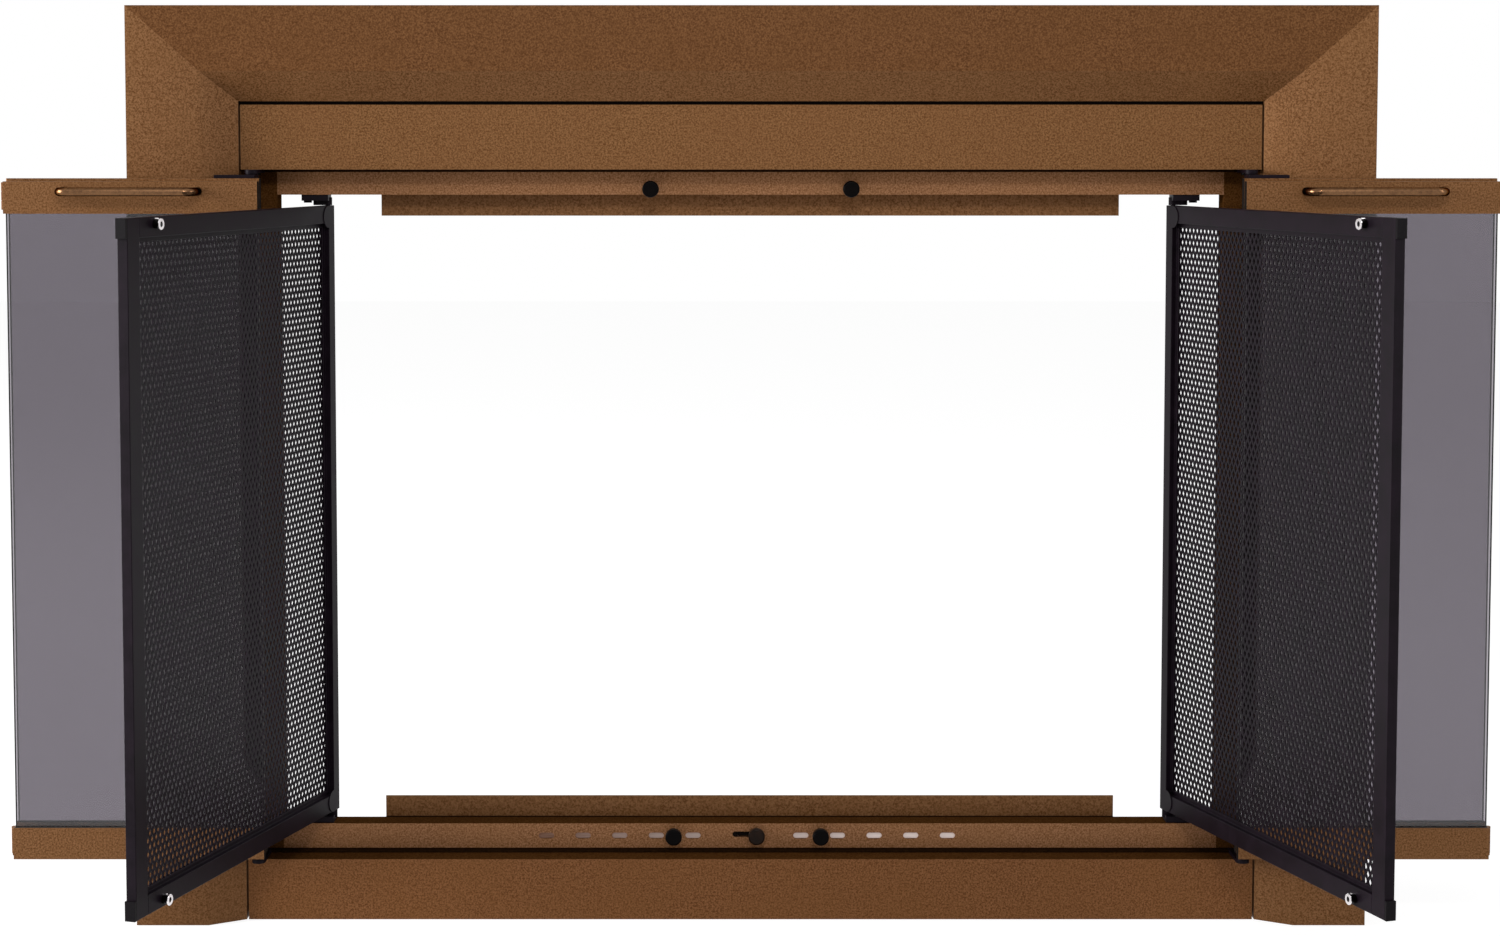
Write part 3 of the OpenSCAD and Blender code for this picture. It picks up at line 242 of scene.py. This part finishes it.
def makeDamperSteel(name, steel):
    material, tree = newMaterial(name)
    place = addNode(tree, "ShaderNodeTexCoord").outputs["Object"]
    along = addNode(tree, "ShaderNodeSeparateXYZ", links={"Vector": place})
    # painted reflection: brown at the left, bright at the right
    paintedReflection = addNode(tree, "ShaderNodeMapRange", links={"Value": along.outputs["X"]},
                    values={"From Min": steel["from"] * mm, "From Max": steel["to"] * mm})
    stretched = addNode(tree, "ShaderNodeMapping", links={"Vector": place},
                        values={"Scale": (1 / steel["stretch"], 1, 1)})
    lines = addNode(tree, "ShaderNodeTexNoise", links={"Vector": stretched.outputs["Vector"]},
                    values={"Scale": 1 / (steel["lines"] * mm), "Detail": 3})
    streaks = addNode(tree, "ShaderNodeMapRange", links={"Value": lines.outputs["Fac"]},
                      values={"To Min": -steel["streaks"], "To Max": steel["streaks"]})
    mixed = addNode(tree, "ShaderNodeMath", {"operation": "ADD", "use_clamp": True},
                    links={0: paintedReflection.outputs["Result"], 1: streaks.outputs["Result"]})
    colour = addNode(tree, "ShaderNodeValToRGB", links={"Fac": mixed.outputs[0]})
    for stop, tone in zip(colour.color_ramp.elements, steel["tones"]):
        stop.color = linear(tone)
    rough = addNode(tree, "ShaderNodeMapRange", links={"Value": lines.outputs["Fac"]},
                    values={"To Min": steel["roughness"][0], "To Max": steel["roughness"][1]})
    bump = addNode(tree, "ShaderNodeBump", links={"Height": lines.outputs["Fac"]},
                   values={"Strength": 0.2, "Distance": steel["relief"] * mm})
    shader = addNode(tree, "ShaderNodeBsdfPrincipled", values={"Metallic": 0.4},
                     links={"Base Color": colour.outputs["Color"], "Roughness": rough.outputs["Result"],
                            "Normal": bump.outputs["Normal"]})
    addNode(tree, "ShaderNodeOutputMaterial", links={"Surface": shader.outputs["BSDF"]})
    return material


# Dull finely pebbled parts: moulded nylon for the corner plugs, silicone rubber for the glass gaskets, and
# a dull black for the ends of the door rails towards the middle, and for the header's seal, the wiper and the
# slot's liner, where it is painted shade.
dullParts = {
    "mouldedBlackNylon": {"tones": ("#060406", "#110d11"), "levels": (0.4, 0.7), "pebble": 0.7,
                          "relief": 0.08, "roughness": 0.5, "gloss": 0.08},
    "greySiliconeRubber": {"tones": ("#3a3a3a", "#474646"), "levels": (0.4, 0.7), "pebble": 1.2,
                           "relief": 0.08, "roughness": 0.7, "gloss": 0.08},
    "dullBlackMatt": {"tones": ("#0a0706", "#1a120d"), "levels": (0.4, 0.7), "pebble": 1.4,
                          "relief": 0.08, "roughness": 0.95, "gloss": 0.08},
}


def makeDullPart(name, part):
    material, tree = newMaterial(name)
    place = addNode(tree, "ShaderNodeTexCoord").outputs["Object"]
    pebble = addNode(tree, "ShaderNodeTexNoise", links={"Vector": place},
                     values={"Scale": 1 / (part["pebble"] * mm), "Detail": 2})
    colour = addNode(tree, "ShaderNodeValToRGB", links={"Fac": pebble.outputs["Fac"]})
    for stop, level, tone in zip(colour.color_ramp.elements, part["levels"], part["tones"]):
        stop.position = level
        stop.color = linear(tone)
    bump = addNode(tree, "ShaderNodeBump", links={"Height": pebble.outputs["Fac"]},
                   values={"Strength": 0.25, "Distance": part["relief"] * mm})
    shader = addNode(tree, "ShaderNodeBsdfPrincipled",
                     values={"Roughness": part["roughness"], "Specular IOR Level": part["gloss"]},
                     links={"Base Color": colour.outputs["Color"], "Normal": bump.outputs["Normal"]})
    addNode(tree, "ShaderNodeOutputMaterial", links={"Surface": shader.outputs["BSDF"]})
    return material


bronzeCoat, headerPaintedShadeCoat, lintelPaintedShadeCoat, footPaintedShadeCoat, railPaintedLightCoat, ledgePaintedShadeCoat, gapPaintedShadowCoat = [
    makePowderCoat(name, powderCoat) for name in powderCoat["tones"]]
blackCoat, blackEnamel, brownEnamel = [makeBlackPaint(name, paint) for name, paint in blackPaints.items()]
nickelPlate, zincPlate, antiquedBrass = [makeMetal(name, metal) for name, metal in metals.items()]
blackNylon, greySilicone, dullBlack = [makeDullPart(name, part) for name, part in dullParts.items()]
damperFinish = makeDamperSteel("satinRolledSteel", damperSteel)
finishes = {
    # the record's slots
    "bronze_powder_coat": bronzeCoat,
    "dark_bronze_paint": bronzeCoat,
    "black_paint": blackCoat,
    "black_plastic": blackNylon,
    "grey_gasket": greySilicone,
    "smoked_glass": makeSmokedGlass("smokedTemperedGlass", smokedGlass),
    "antique_brass": antiquedBrass,
    "nickel_plate": nickelPlate,
    "zinc_plate": zincPlate,
}
print("finishes made for", len(finishes), "slots")


def newPiece(name, bm, body, slotName, finish=None):
    mesh = bpy.data.meshes.new(name)
    bm.to_mesh(mesh)
    bm.free()
    piece = bpy.data.objects.new(name, mesh)
    bpy.context.scene.collection.objects.link(piece)
    mesh.materials.append(finish or finishes[slotName])
    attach(piece, body)
    return piece


def softenEdges(piece, width):
    edges = piece.modifiers.new("edges", "BEVEL")
    edges.width = width * mm
    edges.segments = 2
    edges.limit_method = "ANGLE"
    edges.angle_limit = sharpAngle
    edges.harden_normals = True
    edges.use_clamp_overlap = True


def markSharpEdges(bm):
    for face in bm.faces:
        face.smooth = True
    for edge in bm.edges:
        edge.smooth = len(edge.link_faces) == 2 and edge.calc_face_angle(0) < sharpAngle


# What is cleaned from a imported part's loose triangles: points closer than this in mm are merged, and edges
# that turn by less than this in degrees are dissolved.
cadClean = {"merge": 0.002, "flat": 0.5}


def dressNode(nodeName, width, finish=None):
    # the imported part's own shape, with its sharp edges broken as a press brake or a mould leaves them
    cad = nodes[nodeName]
    bm = bmesh.new()
    bm.from_mesh(cad.data)
    bmesh.ops.remove_doubles(bm, verts=bm.verts, dist=cadClean["merge"] * mm)
    bmesh.ops.dissolve_limit(bm, angle_limit=math.radians(cadClean["flat"]), verts=bm.verts, edges=bm.edges)
    markSharpEdges(bm)
    slotName = cad.data.materials[0].name.split(".")[0]
    piece = newPiece(nodeName + "_finished", bm, cad["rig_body"], slotName, finish)
    if width:
        softenEdges(piece, width)
    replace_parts(piece, nodeName)
    return piece


outwards = {"front": (0, -1, 0), "top": (0, 0, 1), "left": (-1, 0, 0), "right": (1, 0, 0)}
squareOn = 0.99        # cosine of the most that a face on a side turns away from it, 8 degrees


def coatFaces(piece, finish, sides):
    # the faces on these sides have a finish of their own
    piece.data.materials.append(finish)
    for face in piece.data.polygons:
        face.material_index = int(any(face.normal.dot(Vector(outwards[side])) > squareOn for side in sides))


# The frame is folded from steel sheet of about 1.5 mm, and its small parts are stamped. Width of each broken
# edge in mm, 0 where it stays as it is, then the parts and faces that don't have their slot's finish.
frameEdges = {
    "header_trim": 0.5, "column_trim_left": 0.5, "column_trim_right": 0.5, "lintel_panel": 0.5,
    "bottom_panel": 0.5, "head_rail": 0.4, "vent_track": 0.35, "jamb_left": 0.4, "jamb_right": 0.4,
    "stop_plates": 0.4, "corner_gussets": 0.2, "door_catches": 0.5, "glass_pivot_brackets": 0.3,
    "mesh_pivot_brackets": 0.3, "lintel_clamps": 0.3, "floor_brackets": 0.3, "damper_guides": 0.2,
    "frame_screws": 0, "damper_plate": 0.15, "damper_knob": 0.5,
}
# painted shade on the header's front, lintel, bottom panel, jambs and top ledges, and painted light on the
# head rail and vent track, as copies of the coat
ownFinish = {"lintel_panel": lintelPaintedShadeCoat, "bottom_panel": footPaintedShadeCoat, "head_rail": railPaintedLightCoat,
             "vent_track": railPaintedLightCoat, "jamb_left": ledgePaintedShadeCoat, "jamb_right": ledgePaintedShadeCoat,
             "door_catches": blackEnamel, "damper_knob": brownEnamel, "damper_plate": damperFinish,
             "frame_screws": blackEnamel}
ownFaces = {"header_trim": (headerPaintedShadeCoat, ("front",)), "bottom_panel": (ledgePaintedShadeCoat, ("top",)),
            "vent_track": (ledgePaintedShadeCoat, ("top",))}
for nodeName, width in frameEdges.items():
    piece = dressNode(nodeName, width, ownFinish.get(nodeName))
    if nodeName in ownFaces:
        coatFaces(piece, *ownFaces[nodeName])

# The doors, each part once for the left and once for the right.
doorEdges = {
    "pivot_top_rail": 0.7, "pivot_bottom_rail": 0.7, "pivot_glass": 0.9, "pivot_gaskets": 0.2,
    "pivot_straps": 0.3, "pivot_fold_hinges": 0.3, "lead_top_rail": 0.7, "lead_bottom_rail": 0.7,
    "lead_glass": 0.9, "lead_gaskets": 0.2, "lead_fold_hinges": 0.3, "lead_handle": 0,
    "lead_handle_screws": 0, "mesh_top_rail": 0.6, "mesh_bottom_rail": 0.6, "mesh_hinge_stile": 0.6,
    "mesh_free_stile": 0.6, "mesh_plugs": 0.4,
}
glassRails = ("pivot_top_rail", "pivot_bottom_rail", "lead_top_rail", "lead_bottom_rail")
darkEnd = {"left": ("right",), "right": ("left",)}        # the end towards the middle at rest
for nodeName, width in doorEdges.items():
    for side in bothSides:
        piece = dressNode(nodeName + "_" + side, width)
        if nodeName in glassRails:
            coatFaces(piece, dullBlack, darkEnd[side])
        if nodeName in ("pivot_glass", "lead_glass"):
            # the ground edges of smoked glass look almost black, and so do their bevels
            coatFaces(piece, blackEnamel, ("left", "right"))
            piece.modifiers["edges"].material = 1
print("parts dressed:", len(frameEdges) + 2 * len(doorEdges))


def boxOf(points):
    # the lowest and highest corner of a box round these points
    return [Vector([pick(point[i] for point in points) for i in range(3)]) for pick in (min, max)]


def nodeBox(nodeName):
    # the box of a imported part, in millimetres
    return boxOf([vertex.co / mm for vertex in nodes[nodeName].data.vertices])


def addBox(bm, low, high):
    shape = bmesh.ops.create_cube(bm, size=1)["verts"]
    bmesh.ops.scale(bm, verts=shape, vec=[(b - a) * mm for a, b in zip(low, high)])
    bmesh.ops.translate(bm, verts=shape, vec=[(a + b) / 2 * mm for a, b in zip(low, high)])


sealedParts = ("header_trim", "lintel_panel", "head_rail", "vent_track", "bottom_panel")
(headerLow, _), (lintelLow, lintelHigh), (_, headRailHigh), (trackLow, trackHigh), (_, panelHigh) = [
    nodeBox(nodeName) for nodeName in sealedParts]

# Dark strips fill the gaps between header and lintel, lintel and head rail, and track and bottom panel, and
# one lies on the track in front of the lower stop plate: they are painted shadow in these gaps. The header's
# is dull black and the others have the darkest copy of the coat. Each has half its length, then where it
# starts and ends in depth, in millimetres.
gapShadowSeals = {"header": (456.3, -14, 8), "rails": (453, 4, 30), "stop": (336, 34.6, 35.9), "thick": 0.9,
              "edge": 0.3}
blackSeals = [("header", lintelHigh.z, headerLow.z)]
coatedSeals = [("rails", panelHigh.z, trackLow.z), ("rails", headRailHigh.z, lintelLow.z),
               ("stop", trackHigh.z, trackHigh.z + gapShadowSeals["thick"])]
for tone, finish, seals in (("black", dullBlack, blackSeals), ("coated", gapPaintedShadowCoat, coatedSeals)):
    bm = bmesh.new()
    for place, bottom, top in seals:
        halfLength, front, back = gapShadowSeals[place]
        addBox(bm, (-halfLength, front, bottom), (halfLength, back, top))
    softenEdges(newPiece("gapShadowSeals_" + tone, bm, "frame", "grey_gasket", finish), gapShadowSeals["edge"])

# A thin black sheet slides with the knob's stem, just in front of the damper plate, and keeps the open part
# of the knob's slot dark at rest: it is painted shade in the slot.
knobSlotShade = {"left": -13.6, "right": 4.2, "tall": 6, "thick": 0.2, "clearance": 0.05, "edge": 0.05}
slotZ = sum(corner.z for corner in nodeBox("damper_knob")) / 2
wiperBack = nodeBox("damper_plate")[0].y - knobSlotShade["clearance"]
bm = bmesh.new()
addBox(bm, (knobSlotShade["left"], wiperBack - knobSlotShade["thick"], slotZ - knobSlotShade["tall"] / 2),
       (knobSlotShade["right"], wiperBack, slotZ + knobSlotShade["tall"] / 2))
softenEdges(newPiece("knobSlotShade", bm, "damper", "black_plastic", dullBlack), knobSlotShade["edge"])

# A flat black ring round the knob's slot, longer at its left end, is painted shade at the slot's edges. Each
# of its two outlines has the x of its end centres and their radius, in millimetres.
slotEdgeShade = {"proud": 0.15, "inner": (-10.1, 5.9, 1.8), "outer": (-13.6, 5.9, 2.4), "steps": 12}


def addRoundEnded(bm, leftX, rightX, radius, y, z, steps):
    # a half turn round each end, joined by straight edges
    ends = []
    for x, start in ((rightX, z - radius), (leftX, z + radius)):
        first = bm.verts.new((x * mm, y * mm, start * mm))
        turned = bmesh.ops.spin(bm, geom=[first], cent=(x * mm, y * mm, z * mm), axis=(0, -1, 0),
                                dvec=(0, 0, 0), angle=math.pi, steps=steps)
        ends.append((first, turned["geom_last"][0]))
    for k in (0, 1):
        bm.edges.new((ends[k][1], ends[1 - k][0]))


bm = bmesh.new()
for outline in ("inner", "outer"):
    addRoundEnded(bm, *slotEdgeShade[outline], trackLow.y - slotEdgeShade["proud"], slotZ, slotEdgeShade["steps"])
bmesh.ops.bridge_loops(bm, edges=bm.edges)
bmesh.ops.recalc_face_normals(bm, faces=bm.faces)
slotEdgeShadePiece = newPiece("slotEdgeShade", bm, "frame", "black_plastic", dullBlack)
slotEdgeShadeSolid = slotEdgeShadePiece.modifiers.new("thickness", "SOLIDIFY")
slotEdgeShadeSolid.thickness = slotEdgeShade["proud"] * mm
slotEdgeShadeSolid.offset = 0
print("seals, wiper and slot liner added")


def meshDoorPlace(side):
    # from a shut left door, along +X from its pivot, to where the door stands open; the right one is mirrored
    swing = joints["mesh_swing_" + side]
    pivotX, pivotY, _ = swing["pos_m"]
    opened = max(abs(limit) for limit in swing["range_deg"])
    turn = Matrix.Rotation(-math.radians(opened), 4, "Z")
    place = Matrix.Translation((-abs(pivotX), pivotY, 0)) @ turn
    return place if side == "left" else Matrix.Scale(-1, 4, (1, 0, 0)) @ place


def shutBox(nodeName, side, half=None):
    # the box in metres of a mesh door's node as a shut left door, or of its upper or lower half
    back = meshDoorPlace(side).inverted()
    points = [back @ vertex.co for vertex in nodes[nodeName + "_" + side].data.vertices]
    low, high = boxOf(points)
    if half:
        points = [point for point in points if (point.z > (low.z + high.z) / 2) == (half == "upper")]
    return boxOf(points)


lathe = {"steps": 32, "merge": 0.001}


def turnRound(bm, profile, x, z):
    # a profile of (radius, y) in millimetres goes round a line along Y, at x and z in metres
    ring = [bm.verts.new((x + radius * mm, y * mm, z)) for radius, y in profile]
    edges = [bm.edges.new(pair) for pair in zip(ring, ring[1:])]
    bmesh.ops.spin(bm, geom=ring + edges, cent=(x, 0, z), axis=(0, 1, 0), dvec=(0, 0, 0),
                   angle=math.tau, steps=lathe["steps"], use_merge=True)
    bmesh.ops.remove_doubles(bm, verts=bm.verts, dist=lathe["merge"] * mm)


def meshPiece(name, side, bm, slotName, finish=None):
    bmesh.ops.transform(bm, matrix=meshDoorPlace(side), verts=bm.verts)
    bmesh.ops.recalc_face_normals(bm, faces=bm.faces)
    markSharpEdges(bm)
    return newPiece(name + "_" + side, bm, "mesh_door_" + side, slotName, finish)


# Catch of a mesh door: a turned black post, a nickel-plated ring magnet at its tip, and a small plated pin
# sunk into its top, which is a painted highlight along the post's top. Radii of post, ring, hole and pin,
# thickness of the magnet, how round its outer edges are, the chamfer of hole and pin, the taper at the post's
# tip and the gap behind the magnet, how deep in the hole the post ends, where the pin starts and ends behind
# the magnet, and how deep it is sunk.
catch = {"post": 3.6, "ring": 4.6, "hole": 2.2, "highlightPin": 1, "magnet": 1.2, "round": 0.3, "chamfer": 0.2,
         "taper": (0.5, 0.6), "gap": 0.05, "recess": 0.9, "highlightPinRun": (6, 1.4), "highlightPinSunk": 0.6}


def magneticCatches(side):
    post, ring, hole, highlightPin = catch["post"], catch["ring"], catch["hole"], catch["highlightPin"]
    chamfer, edge, gap = catch["chamfer"], catch["round"], catch["gap"]
    posts, magnets = bmesh.new(), bmesh.new()
    for half in ("upper", "lower"):
        low, high = shutBox("mesh_catches", side, half)
        x, z = (low.x + high.x) / 2, (low.z + high.z) / 2
        root, tip = low.y / mm, high.y / mm
        back, core = tip - catch["magnet"], tip - catch["recess"]
        highlightPinStart, highlightPinEnd = [back - run for run in catch["highlightPinRun"]]
        turnRound(posts, [(0, root), (post, root), (post, back - catch["taper"][1]),
                          (post - catch["taper"][0], back - gap), (hole - gap, back - gap),
                          (hole - gap, core), (0, core)], x, z)
        turnRound(magnets, [(hole, back), (hole, tip - chamfer), (hole + chamfer, tip), (ring - edge, tip),
                            (ring - edge / 2, tip - edge / 2), (ring, tip - edge), (ring, back + edge),
                            (ring - edge, back), (hole, back)], x, z)
        # the plated pin, a painted highlight along the post's top
        turnRound(magnets, [(0, highlightPinStart), (highlightPin - chamfer, highlightPinStart), (highlightPin, highlightPinStart + chamfer),
                            (highlightPin, highlightPinEnd - chamfer), (highlightPin - chamfer, highlightPinEnd), (0, highlightPinEnd)],
                  x, z + (post + highlightPin - catch["highlightPinSunk"]) * mm)
    meshPiece("catchPosts", side, posts, "nickel_plate", blackEnamel)
    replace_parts(meshPiece("catchMagnets", side, magnets, "nickel_plate"), "mesh_catches_" + side)


# Rounded end plates of the mesh doors' rails, as tall as the rail, that lap over the hinge stile
railEnd = {"lap": 3, "thick": 0.7, "edge": 0.25}


def railEnds(side):
    bm = bmesh.new()
    for rail in ("mesh_top_rail", "mesh_bottom_rail"):
        low, high = shutBox(rail, side)
        radius, face = (high.z - low.z) / 2, high.y / mm
        profile = [(0, face), (radius / mm, face), (radius / mm, face + railEnd["thick"]),
                   (0, face + railEnd["thick"])]
        turnRound(bm, profile, low.x - railEnd["lap"] * mm + radius / 2, (low.z + high.z) / 2)
    softenEdges(meshPiece("railEnds", side, bm, "black_paint"), railEnd["edge"])


# Slit and stretched sheet with staggered diamond openings between narrow strands. A cell that is cut at the
# screen's edge to less than a share of its size stays closed.
net = {"pitchAcross": 6.9, "pitchUp": 11.5, "strand": 1.85, "sheet": 1.1, "leastCell": 0.2, "cut": 0.0001}


def expandedMetal(side):
    low, high = shutBox("mesh_screen", side)
    middle, wide, tall = (low + high) / 2, high.x - low.x, high.z - low.z
    columns, rows = round(wide / net["pitchAcross"] / mm), round(tall / net["pitchUp"] / mm)
    across, up = wide / columns, tall / rows
    count = columns + rows + 2        # squares along a turned grid that covers the whole screen
    bm = bmesh.new()
    bmesh.ops.create_grid(bm, x_segments=count, y_segments=count, size=count / 2)
    bmesh.ops.rotate(bm, verts=bm.verts, cent=(0, 0, 0), matrix=Matrix.Rotation(math.radians(45), 3, "Z"))
    bmesh.ops.scale(bm, verts=bm.verts, vec=(across / math.sqrt(2), up / math.sqrt(2), 1))
    bmesh.ops.rotate(bm, verts=bm.verts, cent=(0, 0, 0), matrix=Matrix.Rotation(math.radians(90), 3, "X"))
    bmesh.ops.translate(bm, verts=bm.verts, vec=middle)
    for point, normal in ((low, (-1, 0, 0)), (high, (1, 0, 0)), (low, (0, 0, -1)), (high, (0, 0, 1))):
        bmesh.ops.bisect_plane(bm, geom=bm.verts[:] + bm.edges[:] + bm.faces[:], dist=net["cut"] * mm,
                               plane_co=point, plane_no=normal, clear_outer=True)
    openings = [f for f in bm.faces if f.calc_area() > net["leastCell"] * across * up / 2]
    bmesh.ops.inset_individual(bm, faces=openings, thickness=net["strand"] / 2 * mm, use_even_offset=True)
    bmesh.ops.delete(bm, geom=openings, context="FACES")
    piece = meshPiece("expandedMetal", side, bm, "black_paint")
    solid = piece.modifiers.new("sheet", "SOLIDIFY")
    solid.thickness = net["sheet"] * mm
    solid.offset = 0
    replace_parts(piece, "mesh_screen_" + side)
    print("expanded metal", side, ":", columns, "x", rows, "openings,", len(piece.data.polygons), "faces")


for side in bothSides:
    expandedMetal(side)
    magneticCatches(side)
    railEnds(side)
print("mesh doors finished")


def softBox(name, place, aim, size, power):
    data = bpy.data.lights.new(name, "AREA")
    data.shape = "RECTANGLE"
    data.size, data.size_y = size
    data.energy = power
    lamp = bpy.data.objects.new(name, data)
    bpy.context.scene.collection.objects.link(lamp)
    lamp.location = place
    lamp.rotation_euler = (Vector(aim) - Vector(place)).to_track_quat("-Z", "Y").to_euler()


studio = {
    "aim": (0, 0, 0.4), "ambient": 0.3,
    # soft boxes: place, size and power
    "boxes": {"leftBox": ((-3.9, -0.9, 1.2), (1.6, 2.2), 246),
              "rightBox": ((1.9, -1.1, 1.1), (0.5, 1.6), 8.4),
              "topBox": ((0, -3.6, 2.6), (3, 1.4), 24),
              "keyLight": ((0.04, -2.7, 1.9), (0.3, 0.15), 14)},
}
for name, (place, size, power) in studio["boxes"].items():
    softBox(name, place, studio["aim"], size, power)


def whiteForView(tree, lit, white):
    # the camera, and what metal and glass show, see plain white; the lighting itself stays as set
    rays = addNode(tree, "ShaderNodeLightPath").outputs
    seen = rays["Is Camera Ray"]
    for kind in ("Is Glossy Ray", "Is Transmission Ray"):
        either = addNode(tree, "ShaderNodeMath", {"operation": "MAXIMUM"}, links={0: seen, 1: rays[kind]})
        seen = either.outputs[0]
    return addNode(tree, "ShaderNodeMixShader", links={0: seen, 1: lit, 2: white}).outputs[0]


world = bpy.data.worlds.new("studioWhite")
bpy.context.scene.world = world
world.use_nodes = True
tree = world.node_tree
tree.nodes.clear()
white = linear("#ffffff")
ambient = addNode(tree, "ShaderNodeBackground", values={"Strength": studio["ambient"], "Color": white})
backdrop = addNode(tree, "ShaderNodeBackground", values={"Strength": 1, "Color": white})
addNode(tree, "ShaderNodeOutputWorld",
        links={"Surface": whiteForView(tree, ambient.outputs[0], backdrop.outputs[0])})

# A pale paper floor just under the feet. It lights the object as plain matt paper, and is seen as near white
# with the object's shadow on it: half its width, how far down it lies, its colour, and what is seen instead.
paperFloor = {"reach": 9, "drop": 0.5, "colour": "#c8c8c8", "seen": "#959595", "glow": 0.88}
bm = bmesh.new()
bmesh.ops.create_grid(bm, x_segments=1, y_segments=1, size=paperFloor["reach"])
bmesh.ops.translate(bm, verts=bm.verts, vec=(0, 0, -paperFloor["drop"] * mm))
floorMesh = bpy.data.meshes.new("studioFloor")
bm.to_mesh(floorMesh)
bm.free()
floor = bpy.data.objects.new("studioFloor", floorMesh)
bpy.context.scene.collection.objects.link(floor)
paper, tree = newMaterial("palePaperFloor")
matt = addNode(tree, "ShaderNodeBsdfDiffuse", values={"Color": linear(paperFloor["colour"])})
seenMatt = addNode(tree, "ShaderNodeBsdfDiffuse", values={"Color": linear(paperFloor["seen"])})
glow = addNode(tree, "ShaderNodeEmission", values={"Strength": paperFloor["glow"]})
lifted = addNode(tree, "ShaderNodeAddShader", links={0: seenMatt.outputs[0], 1: glow.outputs[0]})
addNode(tree, "ShaderNodeOutputMaterial",
        links={"Surface": whiteForView(tree, matt.outputs[0], lifted.outputs[0])})
floorMesh.materials.append(paper)

# The photograph's camera: place in metres, pitch in degrees, lens and sensor in mm
cameraSetup = {"place": (-0.039, -2.4832, 0.715), "pitch": 3.755, "lens": 66.31, "sensor": 36,
               "shift": (0.0284, -0.105), "near": 0.05}
cameraData = bpy.data.cameras.new("camera")
camera = bpy.data.objects.new("camera", cameraData)
bpy.context.scene.collection.objects.link(camera)
bpy.context.scene.camera = camera
cameraData.sensor_width = cameraSetup["sensor"]
cameraData.lens = cameraSetup["lens"]
cameraData.shift_x, cameraData.shift_y = cameraSetup["shift"]
cameraData.clip_start = cameraSetup["near"]
camera.location = cameraSetup["place"]
camera.rotation_euler = (math.radians(90 - cameraSetup["pitch"]), 0, 0)
bpy.context.scene.view_settings.view_transform = "Standard"
print("stage, lights and camera set")

bpy.context.view_layer.update()
